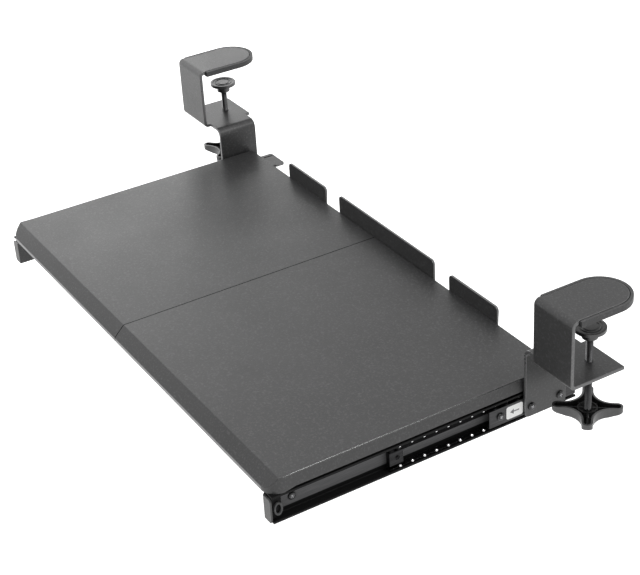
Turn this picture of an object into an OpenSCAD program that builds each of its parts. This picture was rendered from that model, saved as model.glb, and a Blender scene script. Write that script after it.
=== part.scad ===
// Keyboard tray that hangs from a desk edge on two screw clamps and slides on ball rails.
// Millimetres. +X is the user's right, +Y points away from the user, +Z is up.
// The origin lies midway between the clamps in X, on the inner face of the clamp front
// plates in Y and on the underside of the top pads in Z. The tray is drawn pulled out.

/* [Platform] */
// Width between the side creases of the platform
tray_w = 501; // [490:1:560]
// Depth of the platform from its front crease to its rear edge
tray_d = 259.3; // [225:0.1:290]
// Drop from the underside of the top pads to the platform's upper face
tray_drop = 83.5; // [78:0.5:100]
// Sheet thickness of the platform
sheet_t = 2; // [1.6:0.1:2.4]
// Height of the front edge and its corners
skirt_h = 13.4; // [12:0.1:13.8]
// Height of the side skirts behind the front corners
side_skirt_h = 11.4; // [10.5:0.1:12]
// How far each skirt leans out at its lower edge
skirt_flare = 1.5; // [0.5:0.1:3]
// Run and drop of the bevel along the front edge
bevel = 9.7; // [7:0.1:10]
// Radius of the front corners in plan
corner_r = 7; // [4:0.5:10]
// Sideways place of the seam between the two halves
seam_x = -17; // [-20:1:20]
// Width of the seam between the two halves
seam_gap = 0.4; // [0.2:0.1:0.8]

/* [Rear edge] */
// Height of the two outer stops along the rear edge
stop_h = 16; // [10:0.5:20]
// Distance from the centre to the near end of an outer stop
stop_in = 103; // [95:1:120]
// Distance from the centre to the far end of an outer stop
stop_out = 173; // [150:1:185]
// Height of the middle stop
mid_stop_h = 18; // [12:0.5:22]
// Length of the middle stop
mid_stop_l = 158; // [150:1:170]
// Corner radius of the stops
stop_r = 4; // [2:0.5:5]
// Distance from the centre to the near side of the left half's rear tab
tab_in = 204; // [195:1:212]
// Width of the rear tab
tab_w = 27.5; // [20:0.5:30]
// Length of the rear tab
tab_l = 12.5; // [8:0.5:16]

/* [Joining bars] */
// Length of the front joining bar
front_bar_l = 140; // [120:1:180]
// Width of a joining bar
bar_w = 26; // [20:1:32]
// Thickness of a joining bar
bar_t = 2; // [1.5:0.1:3]
// Distance from the front crease to the front joining bar
front_bar_y = 22; // [10:1:60]
// Distance from the seam to the near joining screws
bar_screw_near = 22; // [15:1:30]
// Distance from the seam to the far joining screws
bar_screw_far = 54; // [45:1:58]

/* [Ball rails] */
// Height of the outer rail
rail_h = 25; // [24:0.1:30]
// Depth of the outer rail from its back to its lips
rail_depth = 10; // [9.6:0.1:12]
// Length of the outer rail
rail_l = 289; // [280:1:300]
// Wall of the rails
rail_t = 1.2; // [1:0.1:1.4]
// How far a rail lip turns in past the flange
rail_lip = 0.7; // [0.4:0.1:0.9]
// Distance from the front crease forward to the front of the outer rail
rail_front = 8; // [7.8:0.1:9]
// Length of the carriage
carriage_l = 87.5; // [80:0.5:92]
// Distance from the side plate's front edge forward to the carriage's front end
carriage_lead = 34; // [33:0.5:40]
// How far the carriage face stands out past the rail lips
carriage_proud = 1; // [0.8:0.1:1.6]
// Ball diameter
ball_d = 3.1; // [2.6:0.1:3.1]
// Distance between neighbouring balls
ball_pitch = 11.5; // [10:0.5:14]
// Length of the ball cage
cage_l = 172; // [160:1:176]
// Sheet thickness of the ball cage
cage_t = 0.8; // [0.6:0.1:1]
// Length of the plate that bridges the front of a cage
bridge_l = 12.7; // [10:0.1:14]
// Length of the front bumper in the outer rail
bumper_l = 9.5; // [8:0.1:11]

/* [Tray brackets] */
// Sheet thickness of a tray bracket
tray_bracket_t = 1.5; // [1.2:0.1:2]
// Width of the flange that carries the platform
flange_w = 24; // [20:0.5:30]

/* [Desk clamps] */
// Plate thickness of a desk clamp
plate_t = 3; // [2.5:0.1:4]
// Inner radius of the clamp bends
bend_r = 2; // [1:0.1:3]
// Inner radius of the bend above the side plate
side_bend_r = 5; // [3:0.1:6]
// Width of a clamp
clamp_w = 46.5; // [40:0.5:56]
// Depth of a clamp's top plate behind the front plate
top_reach = 66.5; // [58:0.5:80]
// Depth of a clamp's lower plate behind the front plate
lower_reach = 50; // [47:0.5:60]
// Height of the jaw between the pad and the lower plate
jaw_h = 52.5; // [49:0.5:60]
// Distance from the side plate out to the clamp's near edge
neck_l = 17.5; // [10:0.5:24]
// Distance from the front plate back to the side plate
side_y = 4; // [3:0.5:8]
// Depth of a side plate
side_w = 41; // [36:0.5:46]
// How far a side plate ends above the lower edge of the rail
side_lift = 2.8; // [0:0.1:4]
// Corner radius of a side plate
side_r = 4; // [2:0.5:6]
// Thickness of a top pad under its plate
pad_t = 2.5; // [1.5:0.1:4]
// Width of the rim of a top pad
pad_rim = 1.75; // [1:0.05:2.5]
// Distance from the front plate back to a top pad
pad_y = 4.5; // [2.5:0.1:8]

/* [Clamp screws] */
// Diameter of a clamp screw
clamp_screw_d = 6; // [5:0.1:7]
// Distance from the front plate back to a clamp screw
clamp_screw_y = 34; // [26:0.5:36]
// Thickness of the desk that the clamps hold as drawn
desk_t = 21.5; // [21:0.1:25]
// Diameter of a pressure foot
foot_d = 26; // [20:0.5:32]
// Thickness of a pressure foot's plate
foot_t = 3; // [2:0.1:4]
// Height of a pressure foot's hub
foot_hub_h = 7; // [5:0.1:8]
// Drop from the underside of the top pads to the top of a star knob
knob_drop = 95.5; // [92:0.5:102]
// Height of a star knob
knob_h = 8; // [7.5:0.1:12]
// Distance from the axis to the end of a knob arm
knob_r = 28; // [24:0.5:32]
// Half width of a knob arm
arm_half = 4.5; // [4:0.1:5]
// Wall of the hollow knob arms
knob_wall = 1.7; // [1.2:0.1:2]
// Floor under the hollows of a star knob
knob_floor = 1.5; // [1.2:0.1:2]
// Across flats of a clamp nut
nut_af = 10; // [10:0.1:13]
// Height of a clamp nut
nut_h = 5; // [4:0.1:6]

/* [Small screws] */
// Shank diameter of the small screws
screw_d = 4; // [3:0.1:4]
// Head diameter of the small screws
head_d = 7; // [6:0.1:8]
// Head height of the small screws
head_h = 1.8; // [1.6:0.1:2]

/* [Clearances] */
// Play around a screw shank in a plain hole
hole_play = 0.4; // [0.2:0.05:0.6]
// Play around a screw shank in a threaded hole
thread_play = 0.1; // [0.05:0.05:0.2]
// Diametral running play of a clamp screw in its nut and foot
screw_play = 0.1; // [0.04:0.02:0.18]
// Play around a ball between the rails and in its pocket
ball_play = 0.1; // [0.06:0.01:0.1]
// Gap between the lower edges of the skirts and the side plates
side_gap = 1; // [0.6:0.1:2]
// Gap between pieces that are fitted edge to edge
edge_gap = 0.3; // [0.2:0.05:0.5]

/* [Hidden] */
$fn = 64;
// How far cutting shapes run past the faces that they cut
over = 1;

// Levels of the platform and the rails
tray_z = -tray_drop;
under_z = tray_z - sheet_t;
skirt_z = tray_z - skirt_h;
side_skirt_z = tray_z - side_skirt_h;
rail_top_z = skirt_z - edge_gap;
rail_z = rail_top_z - rail_h / 2;
rail_bottom_z = rail_top_z - rail_h;

// Places from front to back
carriage_y0 = side_y - carriage_lead;
carriage_y1 = carriage_y0 + carriage_l;
rail_y1 = carriage_y1 + edge_gap + rail_t;
rail_y0 = rail_y1 - rail_l;
crease_y = rail_y0 + rail_front;
lip_y = crease_y - bevel;
rear_y = crease_y + tray_d;
front_bar_y0 = crease_y + front_bar_y;
bevel_turn = tan(22.5);

// Places from the middle outwards, on the right side
carriage_x = tray_w / 2 + skirt_flare + side_gap;
lip_x = carriage_x - carriage_proud;
rail_x = lip_x - rail_depth;
side_x = carriage_x + plate_t;
clamp_x0 = side_x + neck_l;
clamp_x1 = clamp_x0 + clamp_w;
clamp_mid_x = (clamp_x0 + clamp_x1) / 2;

// Ball rows: the balls run between the rail flanges and the carriage flanges
rail_inner = rail_h / 2 - rail_t;
ball_v = rail_inner - ball_d / 2 - ball_play;
carriage_half = ball_v - ball_d / 2 - ball_play;
lip_u = rail_depth - rail_t;
lip_overlap = 0.05;
ball_u = lip_u - ball_d / 2 + lip_overlap;
carriage_flange_u = 5;
cage_clearance = 0.4;
ball_show = 0.55;
cage_u0 = rail_t + head_h + cage_clearance;
cage_u1 = ball_u + ball_d / 2 - ball_show;
cage_lead = 2;
bumper_margin = 4.5;
tray_travel = carriage_y0 - rail_y0 - cage_lead - bumper_l - bumper_margin;
cage_y0 = carriage_y0 - tray_travel / 2 - cage_lead;
cage_y1 = cage_y0 + cage_l;
bridge_t = 1;
bridge_half = carriage_half - rail_t - 2 * edge_gap;
first_ball_y = cage_y0 + 0.8 * bridge_l;
ball_count = floor((cage_y1 - first_ball_y - ball_d) / ball_pitch) + 1;
rail_screw_edge = 12;
rail_screw_ys = [
    rail_y0 + bumper_l + rail_screw_edge,
    carriage_y0 + carriage_l / 4,
    rail_y1 - rail_screw_edge
];

// Carriage fasteners: one ahead of the side plate and two through it
side_screw_edge = 6;
side_screw_ys = [side_y + side_screw_edge, side_y + side_w - side_screw_edge];
stop_screw_y = carriage_y0 + carriage_l / 8;
carriage_screw_tip = 1.1;

// Label on the carriage face, ahead of the side plate
label_l = 16.5;
label_h = 12;
label_r = 2;
label_t = 0.2;
label_y1 = side_y - 2 * edge_gap;

// Screws under the platform reach into its sheet without breaking through
blind_skin = 0.6;
blind_gap = 0.1;
blind_reach = sheet_t - blind_skin - blind_gap;
flange_screw_x = rail_x - 0.58 * flange_w;
flange_screw_ys = [for (part = [0.08, 0.36, 0.64, 0.92]) crease_y + part * tray_d];
bar_screw_xs = [
    seam_x - bar_screw_far,
    seam_x - bar_screw_near,
    seam_x + bar_screw_near,
    seam_x + bar_screw_far
];
front_bar_screw_y = front_bar_y0 + bar_w / 2;
rear_bar_y0 = rear_y - bar_w;
rear_bar_screw_y = rear_bar_y0 + bar_w / 2;

// Clamp levels
top_z = pad_t + plate_t;
lower_z = -jaw_h;
lower_under_z = lower_z - plate_t;
side_bottom_z = rail_bottom_z + side_lift;
dome_y = top_reach - clamp_w / 2;
foot_z = -desk_t;
foot_hub_z = foot_z - foot_t - foot_hub_h;
foot_hub_wall = 3.5;
foot_hub_d = clamp_screw_d + 2 * foot_hub_wall;
socket_roof = 1.5;
socket_depth = foot_hub_h - socket_roof;
screw_top_z = foot_hub_z + socket_depth - edge_gap;
knob_z = -knob_drop;
knob_bottom_z = knob_z - knob_h;
screw_bottom_z = knob_bottom_z + knob_floor;
knob_boss_wall = 4;
knob_boss_d = clamp_screw_d + 2 * knob_boss_wall;
knob_tip_rise = 3.5;
knob_waist = knob_r - arm_half - knob_tip_rise;
knob_boss_sink = 3;
steel_black = [0.10, 0.10, 0.11];
rail_black = [0.13, 0.13, 0.14];
plastic_black = [0.06, 0.06, 0.06];
rubber_grey = [0.16, 0.16, 0.17];
bright_steel = [0.72, 0.73, 0.75];
label_white = [0.95, 0.95, 0.95];

// Draws the right-hand piece as it is, or mirrored for the left side.
module on_side(side) {
    mirror([side < 0 ? 1 : 0, 0, 0]) children();
}

// Extrudes an outline drawn in Y and Z along X.
module along_x(x0, x1) {
    translate([x0, 0, 0]) rotate([90, 0, 90]) linear_extrude(x1 - x0) children();
}

// Extrudes an outline drawn in X and Z along Y.
module along_y(y0, y1) {
    translate([0, y1, 0]) rotate([90, 0, 0]) linear_extrude(y1 - y0) children();
}

// Cylinder along +X from x0 to x1.
module rod_x(x0, x1, y, z, d) {
    translate([x0, y, z]) rotate([0, 90, 0]) cylinder(d = d, h = x1 - x0);
}

// Rectangle whose two left corners are round.
module left_rounded(a0, b0, a1, b1, r) {
    translate([a0 + r, b0]) square([a1 - a0 - r, b1 - b0]);
    translate([a0, b0 + r]) square([r, b1 - b0 - 2 * r]);
    translate([a0 + r, b0 + r]) circle(r);
    translate([a0 + r, b1 - r]) circle(r);
}

// Rectangle whose upper left corner is round.
module top_left_rounded(a0, b0, a1, b1, r) {
    translate([a0 + r, b0]) square([a1 - a0 - r, b1 - b0]);
    translate([a0, b0]) square([r, b1 - b0 - r]);
    translate([a0 + r, b1 - r]) circle(r);
}

// Rectangle whose two upper corners are round.
module top_rounded(a0, b0, a1, b1, r) {
    translate([a0, b0]) square([a1 - a0, b1 - b0 - r]);
    translate([a0 + r, b0]) square([a1 - a0 - 2 * r, b1 - b0]);
    translate([a0 + r, b1 - r]) circle(r);
    translate([a1 - r, b1 - r]) circle(r);
}

// Rectangle whose two lower corners are round.
module bottom_rounded(a0, b0, a1, b1, r) {
    translate([a0, b0 + r]) square([a1 - a0, b1 - b0 - r]);
    translate([a0 + r, b0]) square([a1 - a0 - 2 * r, b1 - b0]);
    translate([a0 + r, b0 + r]) circle(r);
    translate([a1 - r, b0 + r]) circle(r);
}

// Rectangle with four round corners.
module rounded(a0, b0, a1, b1, r) {
    translate([a0, b0 + r]) square([a1 - a0, b1 - b0 - 2 * r]);
    translate([a0 + r, b0]) square([a1 - a0 - 2 * r, b1 - b0]);
    for (a = [a0 + r, a1 - r], b = [b0 + r, b1 - r]) translate([a, b]) circle(r);
}

// Pan head screw with a cross recess. The seat is at Z = 0 and the shank points down.
module pan_screw(shank_l) {
    crown_r = 0.75 * head_d;
    recess_l = 0.56 * head_d;
    recess_w = 0.17 * head_d;
    recess_depth = 0.55 * head_h;
    translate([0, 0, -shank_l]) cylinder(d = screw_d, h = shank_l + head_h / 10);
    difference() {
        intersection() {
            cylinder(d = head_d, h = head_h);
            translate([0, 0, head_h - crown_r]) sphere(crown_r);
        }
        for (turn = [0, 90])
            rotate([0, 0, turn])
                translate([-recess_l / 2, -recess_w / 2, head_h - recess_depth])
                    cube([recess_l, recess_w, head_h]);
    }
}

// Body of the platform, drawn in by the sheet thickness for its hollow.
module platform_body(inset) {
    past = inset > 0 ? over : 0;
    front = lip_y + inset;
    half = tray_w / 2 - inset;
    foot_half = half + skirt_flare;
    corner = corner_r - inset / 2;
    intersection() {
        along_x(-tray_w, tray_w)
            polygon([
                [rear_y + past, tray_z - inset],
                [crease_y + inset * bevel_turn, tray_z - inset],
                [front, tray_z - bevel - inset * bevel_turn],
                [front, skirt_z - past],
                [rear_y + past, skirt_z - past]
            ]);
        along_y(lip_y - over, rear_y + 2 * over)
            polygon([
                [-half, tray_z - inset],
                [half, tray_z - inset],
                [foot_half, skirt_z - past],
                [-foot_half, skirt_z - past]
            ]);
        translate([0, 0, skirt_z - 2 * over])
            linear_extrude(skirt_h + 4 * over)
                rotate(90)
                    left_rounded(front, -foot_half, rear_y + 2 * over, foot_half, corner);
    }
}

// Tab behind the rear edge of the left half, with a relief notch and a pressed groove.
module rear_tab() {
    tab_r = 2.5;
    notch_r = 2;
    groove_w = 2;
    difference() {
        translate([0, 0, under_z])
            linear_extrude(sheet_t)
                rounded(tab_in, rear_y - 2 * tab_r, tab_in + tab_w, rear_y + tab_l, tab_r);
        translate([tab_in, rear_y + notch_r / 2, under_z - over])
            cylinder(r = notch_r, h = sheet_t + 2 * over);
        translate([tab_in + tab_w - 3 * groove_w, rear_y + groove_w / 2, tray_z - sheet_t / 3])
            cube([groove_w, tab_l - 1.5 * groove_w, sheet_t]);
    }
}

// Upright stop folded up from the rear edge.
module outer_stop() {
    along_y(rear_y, rear_y + sheet_t) top_rounded(stop_in, under_z, stop_out, tray_z + stop_h, stop_r);
    translate([stop_in, rear_y - over, under_z]) cube([stop_out - stop_in, over + sheet_t, sheet_t]);
}

// Space under the side skirts, which are lower at the front corners.
module skirt_trim() {
    rise = side_skirt_z - skirt_z;
    front = lip_y + corner_r;
    slope = 2;
    along_x(-tray_w, tray_w)
        polygon([
            [front - slope * over, skirt_z - over],
            [front + slope * rise, side_skirt_z],
            [rear_y + over, side_skirt_z],
            [rear_y + over, skirt_z - over]
        ]);
}

// Blind threaded holes under the platform.
module platform_holes() {
    hole_d = screw_d + thread_play;
    depth = sheet_t - blind_skin + over;
    for (side = [-1, 1], y = flange_screw_ys)
        translate([side * flange_screw_x, y, under_z - over]) cylinder(d = hole_d, h = depth);
    for (x = bar_screw_xs, y = [front_bar_screw_y, rear_bar_screw_y])
        translate([x, y, under_z - over]) cylinder(d = hole_d, h = depth);
}

// One half of the platform: side is -1 for the left and 1 for the right.
module platform_half(side) {
    cut_x = seam_x + side * seam_gap / 2;
    far_x = side * tray_w;
    color(steel_black)
        difference() {
            union() {
                intersection() {
                    difference() {
                        platform_body(0);
                        platform_body(sheet_t);
                    }
                    translate([min(cut_x, far_x), lip_y - over, skirt_z - over])
                        cube([abs(far_x - cut_x), bevel + tray_d + 2 * over, skirt_h + 2 * over]);
                }
                if (side < 0) on_side(side) rear_tab();
                on_side(side) outer_stop();
            }
            skirt_trim();
            platform_holes();
        }
}

module tray_left_half() {
    platform_half(-1);
}

module tray_right_half() {
    platform_half(1);
}

module bar_holes(y) {
    for (x = bar_screw_xs)
        translate([x, y, under_z - bar_t - over]) cylinder(d = screw_d + hole_play, h = bar_t + 2 * over);
}

// Flat bar that joins the halves near the front.
module front_joining_bar() {
    bar_r = 3;
    color(steel_black)
        difference() {
            translate([0, 0, under_z - bar_t])
                linear_extrude(bar_t)
                    rounded(
                        seam_x - front_bar_l / 2, front_bar_y0,
                        seam_x + front_bar_l / 2, front_bar_y0 + bar_w, bar_r
                    );
            bar_holes(front_bar_screw_y);
        }
}

// Angle bar that joins the halves at the rear. Its upright leg is the middle stop.
module rear_joining_bar() {
    stop_y0 = rear_y + edge_gap;
    color(steel_black)
        difference() {
            union() {
                translate([-mid_stop_l / 2, rear_bar_y0, under_z - bar_t])
                    cube([mid_stop_l, stop_y0 + sheet_t - rear_bar_y0, bar_t]);
                along_y(stop_y0, stop_y0 + sheet_t)
                    top_rounded(
                        -mid_stop_l / 2, under_z - bar_t,
                        mid_stop_l / 2, tray_z + mid_stop_h, stop_r
                    );
            }
            bar_holes(rear_bar_screw_y);
        }
}

// Screws that hold both joining bars, driven from below.
module joining_screws() {
    color(rail_black)
        for (x = bar_screw_xs, y = [front_bar_screw_y, rear_bar_screw_y])
            translate([x, y, under_z - bar_t]) rotate([180, 0, 0])
                pan_screw(bar_t + blind_reach);
}

// Angle bracket that carries the platform and the outer rail, with a tab over the rail's front.
module tray_bracket() {
    x0 = rail_x - tray_bracket_t;
    tab_y = rail_y0 - tray_bracket_t;
    tab_r = 2.5;
    tab_top = min(skirt_z - 2 * edge_gap, rail_top_z);
    behind_lip = lip_y + sheet_t + edge_gap;
    bevel_top = tray_z - bevel - sheet_t * bevel_turn - 2 * edge_gap;
    flange_y0 = crease_y + sheet_t;
    color(steel_black)
        difference() {
            union() {
                along_x(x0, rail_x)
                    polygon([
                        [tab_y, rail_bottom_z],
                        [tab_y, tab_top],
                        [behind_lip, tab_top],
                        [behind_lip, bevel_top],
                        [flange_y0, under_z],
                        [rear_y, under_z],
                        [rear_y, rail_top_z],
                        [rail_y1, rail_top_z],
                        [rail_y1, rail_bottom_z]
                    ]);
                translate([rail_x - flange_w, flange_y0, under_z - tray_bracket_t])
                    cube([flange_w, rear_y - flange_y0, tray_bracket_t]);
                along_y(tab_y, rail_y0)
                    bottom_rounded(x0, rail_bottom_z, lip_x, tab_top, tab_r);
            }
            for (y = flange_screw_ys)
                translate([flange_screw_x, y, under_z - tray_bracket_t - over])
                    cylinder(d = screw_d + hole_play, h = tray_bracket_t + 2 * over);
            for (y = rail_screw_ys)
                rod_x(x0 - over, rail_x + over, y, rail_z, screw_d + thread_play);
        }
}

module left_tray_bracket() {
    on_side(-1) tray_bracket();
}

module right_tray_bracket() {
    on_side(1) tray_bracket();
}

// Screws that hold the platform on a bracket, driven from below.
module tray_bracket_screws() {
    color(rail_black)
        for (y = flange_screw_ys)
            translate([flange_screw_x, y, under_z - tray_bracket_t]) rotate([180, 0, 0])
                pan_screw(tray_bracket_t + blind_reach);
}

module left_tray_bracket_screws() {
    on_side(-1) tray_bracket_screws();
}

module right_tray_bracket_screws() {
    on_side(1) tray_bracket_screws();
}

// Long channel on the tray, open outwards, with a stop tab at its rear end.
module outer_rail() {
    half = rail_h / 2;
    outer_bend = 1.5;
    inner_bend = 0.6;
    stop_tab_half = carriage_half / 2;
    color(rail_black)
        difference() {
            union() {
                along_y(rail_y0, rail_y1)
                    translate([rail_x, rail_z])
                        difference() {
                            left_rounded(0, -half, rail_depth, half, outer_bend);
                            left_rounded(rail_t, -rail_inner, lip_u, rail_inner, inner_bend);
                            translate([rail_t + over, rail_lip - rail_inner])
                                square([rail_depth, 2 * (rail_inner - rail_lip)]);
                        }
                translate([rail_x + rail_t / 2, rail_y1 - rail_t, rail_z - stop_tab_half])
                    cube([rail_depth - rail_t, rail_t, 2 * stop_tab_half]);
            }
            for (y = rail_screw_ys)
                rod_x(rail_x - over, rail_x + rail_t + over, y, rail_z, screw_d + hole_play);
        }
}

module left_outer_rail() {
    on_side(-1) outer_rail();
}

module right_outer_rail() {
    on_side(1) outer_rail();
}

// Screws that hold an outer rail on its bracket, with their heads inside the channel.
module rail_screws() {
    color(rail_black)
        for (y = rail_screw_ys)
            translate([rail_x + rail_t, y, rail_z]) rotate([0, 90, 0])
                pan_screw(rail_t + tray_bracket_t);
}

module left_rail_screws() {
    on_side(-1) rail_screws();
}

module right_rail_screws() {
    on_side(1) rail_screws();
}

// Soft stop in the front end of an outer rail, with a cross recess in its face.
module front_bumper() {
    fit = 0.1;
    half = rail_inner - fit;
    face_u = lip_u - fit;
    cross_l = 0.55 * bumper_l;
    cross_w = 1.6;
    cross_depth = 1.2;
    mid_y = rail_y0 + bumper_l / 2;
    color(rubber_grey)
        difference() {
            along_x(rail_x + rail_t, rail_x + face_u)
                rounded(rail_y0, rail_z - half, rail_y0 + bumper_l, rail_z + half, 0.4 * bumper_l);
            for (size = [[cross_l, cross_w], [cross_w, cross_l]])
                translate([rail_x + face_u - cross_depth, mid_y - size[0] / 2, rail_z - size[1] / 2])
                    cube([cross_depth + over, size[0], size[1]]);
        }
}

module left_front_bumper() {
    on_side(-1) front_bumper();
}

module right_front_bumper() {
    on_side(1) front_bumper();
}

// Thin cage that keeps the balls apart: two strips, a front bridge with a hole and a rear bridge.
module ball_cage() {
    inner_v = ball_v - cage_t / 2;
    outer_v = ball_v + cage_t / 2;
    wall_x = rail_x + cage_u0;
    face_x = rail_x + cage_u1;
    pocket_d = ball_d + 2 * ball_play;
    bridge_hole_d = bridge_l / 3;
    hole_y = cage_y0 + bridge_l / 2 + bridge_t;
    color(rail_black)
        difference() {
            union() {
                for (v = [-outer_v, inner_v])
                    translate([wall_x, cage_y0, rail_z + v])
                        cube([cage_u1 - cage_u0, cage_l, cage_t]);
                for (y = [cage_y0, cage_y1 - bridge_l])
                    translate([wall_x, y, rail_z - outer_v]) cube([bridge_t, bridge_l, 2 * outer_v]);
                translate([wall_x, cage_y0, rail_z - bridge_half])
                    cube([cage_u1 - cage_u0, bridge_t, 2 * bridge_half]);
                translate([face_x - bridge_t, cage_y0, rail_z - bridge_half])
                    cube([bridge_t, bridge_l, 2 * bridge_half]);
            }
            for (i = [0 : ball_count - 1], v = [-1, 1])
                translate([rail_x + ball_u, first_ball_y + i * ball_pitch, rail_z + v * ball_v])
                    cylinder(d = pocket_d, h = 2 * cage_t, center = true);
            rod_x(face_x - 2 * bridge_t, face_x + over, hole_y, rail_z, bridge_hole_d);
        }
}

module left_ball_cage() {
    on_side(-1) ball_cage();
}

module right_ball_cage() {
    on_side(1) ball_cage();
}

// Steel balls of one cage.
module balls() {
    color(bright_steel)
        for (i = [0 : ball_count - 1], v = [-1, 1])
            translate([rail_x + ball_u, first_ball_y + i * ball_pitch, rail_z + v * ball_v])
                sphere(d = ball_d, $fn = 24);
}

module left_balls() {
    on_side(-1) balls();
}

module right_balls() {
    on_side(1) balls();
}

// Short channel that is fixed to the side plate and runs inside the outer rail.
module carriage() {
    web_u = rail_depth + carriage_proud;
    half = carriage_half;
    color(rail_black)
        difference() {
            along_y(carriage_y0, carriage_y1)
                translate([rail_x, rail_z])
                    difference() {
                        translate([carriage_flange_u, -half]) square([web_u - carriage_flange_u, 2 * half]);
                        translate([carriage_flange_u - over, rail_t - half])
                            square([web_u - rail_t - carriage_flange_u + over, 2 * (half - rail_t)]);
                    }
            for (y = [stop_screw_y, side_screw_ys[0], side_screw_ys[1]])
                rod_x(carriage_x - rail_t - over, carriage_x + over, y, rail_z, screw_d + thread_play);
        }
}

module left_carriage() {
    on_side(-1) carriage();
}

module right_carriage() {
    on_side(1) carriage();
}

// Screws in a carriage: two through the side plate and one ahead of it.
module carriage_screws() {
    color(rail_black) {
        for (y = side_screw_ys)
            translate([side_x, y, rail_z]) rotate([0, 90, 0])
                pan_screw(plate_t + rail_t + carriage_screw_tip);
        translate([carriage_x, stop_screw_y, rail_z]) rotate([0, 90, 0])
            pan_screw(rail_t + carriage_screw_tip);
    }
}

module left_carriage_screws() {
    on_side(-1) carriage_screws();
}

module right_carriage_screws() {
    on_side(1) carriage_screws();
}

// Blank label on the face of a carriage.
module side_label() {
    color(label_white)
        along_x(carriage_x, carriage_x + label_t)
            rounded(label_y1 - label_l, rail_z - label_h / 2, label_y1, rail_z + label_h / 2, label_r);
}

module left_side_label() {
    on_side(-1) side_label();
}

module right_side_label() {
    on_side(1) side_label();
}

// Plan of the top plate: straight sides and a half round end, grown by a margin.
module dome_plan(grow, y0) {
    translate([clamp_x0 - grow, y0]) square([clamp_w + 2 * grow, dome_y - y0]);
    translate([clamp_mid_x, dome_y]) circle(clamp_w / 2 + grow);
}

// Bent plate that grips the desk: top, front and lower plates, and a side plate for the carriage.
module clamp_bracket() {
    neck_y1 = side_y + side_w;
    reach = max(top_reach, lower_reach) + over;
    color(steel_black)
        difference() {
            union() {
                intersection() {
                    along_x(clamp_x0, clamp_x1)
                        difference() {
                            left_rounded(-plate_t, lower_under_z, reach, top_z, bend_r + plate_t);
                            left_rounded(0, lower_z, reach + over, pad_t, bend_r);
                        }
                    union() {
                        translate([0, 0, -jaw_h / 2]) linear_extrude(jaw_h) dome_plan(0, -plate_t);
                        translate([clamp_x0, -plate_t, lower_under_z])
                            cube([clamp_w, lower_reach + plate_t, jaw_h]);
                    }
                }
                intersection() {
                    along_y(side_y, neck_y1)
                        difference() {
                            top_left_rounded(
                                carriage_x, side_bottom_z, clamp_x0 + over, lower_z, side_bend_r + plate_t
                            );
                            top_left_rounded(
                                side_x, side_bottom_z - over, clamp_x0 + 2 * over, lower_under_z, side_bend_r
                            );
                        }
                    along_x(carriage_x - over, clamp_x0 + 2 * over)
                        bottom_rounded(side_y, side_bottom_z, neck_y1, lower_z + over, side_r);
                }
            }
            translate([clamp_mid_x, clamp_screw_y, lower_under_z - over])
                cylinder(d = clamp_screw_d + 2 * hole_play, h = plate_t + 2 * over);
            for (y = side_screw_ys)
                rod_x(carriage_x - over, side_x + over, y, rail_z, screw_d + hole_play);
        }
}

module left_clamp_bracket() {
    on_side(-1) clamp_bracket();
}

module right_clamp_bracket() {
    on_side(1) clamp_bracket();
}

// Soft pad under a top plate, with a rim round the plate's edge.
module top_pad() {
    fit = 0.05;
    rim_drop = 0.3;
    color(rubber_grey)
        difference() {
            linear_extrude(top_z - rim_drop) dome_plan(pad_rim, pad_y);
            translate([0, 0, pad_t]) linear_extrude(plate_t + over) dome_plan(fit, pad_y - over);
        }
}

module left_top_pad() {
    on_side(-1) top_pad();
}

module right_top_pad() {
    on_side(1) top_pad();
}

// Hexagon nut welded under the lower plate.
module clamp_nut() {
    translate([clamp_mid_x, clamp_screw_y, lower_under_z - nut_h])
        color(steel_black)
            difference() {
                cylinder(d = nut_af / cos(30), h = nut_h, $fn = 6);
                translate([0, 0, -over]) cylinder(d = clamp_screw_d + screw_play, h = nut_h + 2 * over);
            }
}

module left_clamp_nut() {
    on_side(-1) clamp_nut();
}

module right_clamp_nut() {
    on_side(1) clamp_nut();
}

// Round foot that presses on the desk from below, with a socket for the screw's end.
module pressure_foot() {
    edge = 0.8;
    translate([clamp_mid_x, clamp_screw_y, 0])
        color(plastic_black)
            difference() {
                union() {
                    translate([0, 0, foot_z - edge])
                        cylinder(d1 = foot_d, d2 = foot_d - 2 * edge, h = edge);
                    translate([0, 0, foot_z - foot_t]) cylinder(d = foot_d, h = foot_t - edge);
                    translate([0, 0, foot_hub_z]) cylinder(d = foot_hub_d, h = foot_hub_h + foot_t / 2);
                }
                translate([0, 0, foot_hub_z - over])
                    cylinder(d = clamp_screw_d + screw_play, h = socket_depth + over);
            }
}

module left_pressure_foot() {
    on_side(-1) pressure_foot();
}

module right_pressure_foot() {
    on_side(1) pressure_foot();
}

// Clamp screw from the knob up into the foot.
module clamp_screw() {
    tip = 0.8;
    translate([clamp_mid_x, clamp_screw_y, 0])
        color(rail_black) {
            translate([0, 0, screw_bottom_z])
                cylinder(d = clamp_screw_d, h = screw_top_z - tip - screw_bottom_z);
            translate([0, 0, screw_top_z - tip])
                cylinder(d1 = clamp_screw_d, d2 = clamp_screw_d - 2 * tip, h = tip);
        }
}

module left_clamp_screw() {
    on_side(-1) clamp_screw();
}

module right_clamp_screw() {
    on_side(1) clamp_screw();
}

// Outline of a star with four arms, drawn in by a margin.
module star_plan(inset) {
    half = arm_half - inset;
    hollow_r = knob_waist - arm_half + inset;
    difference() {
        square(2 * knob_waist, center = true);
        for (a = [-1, 1], b = [-1, 1]) translate([a * knob_waist, b * knob_waist]) circle(hollow_r);
    }
    for (turn = [0 : 90 : 270])
        rotate(turn) {
            translate([knob_waist - over, -half])
                square([knob_r - arm_half - knob_waist + over, 2 * half]);
            translate([knob_r - arm_half, 0]) circle(half);
        }
}

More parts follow.
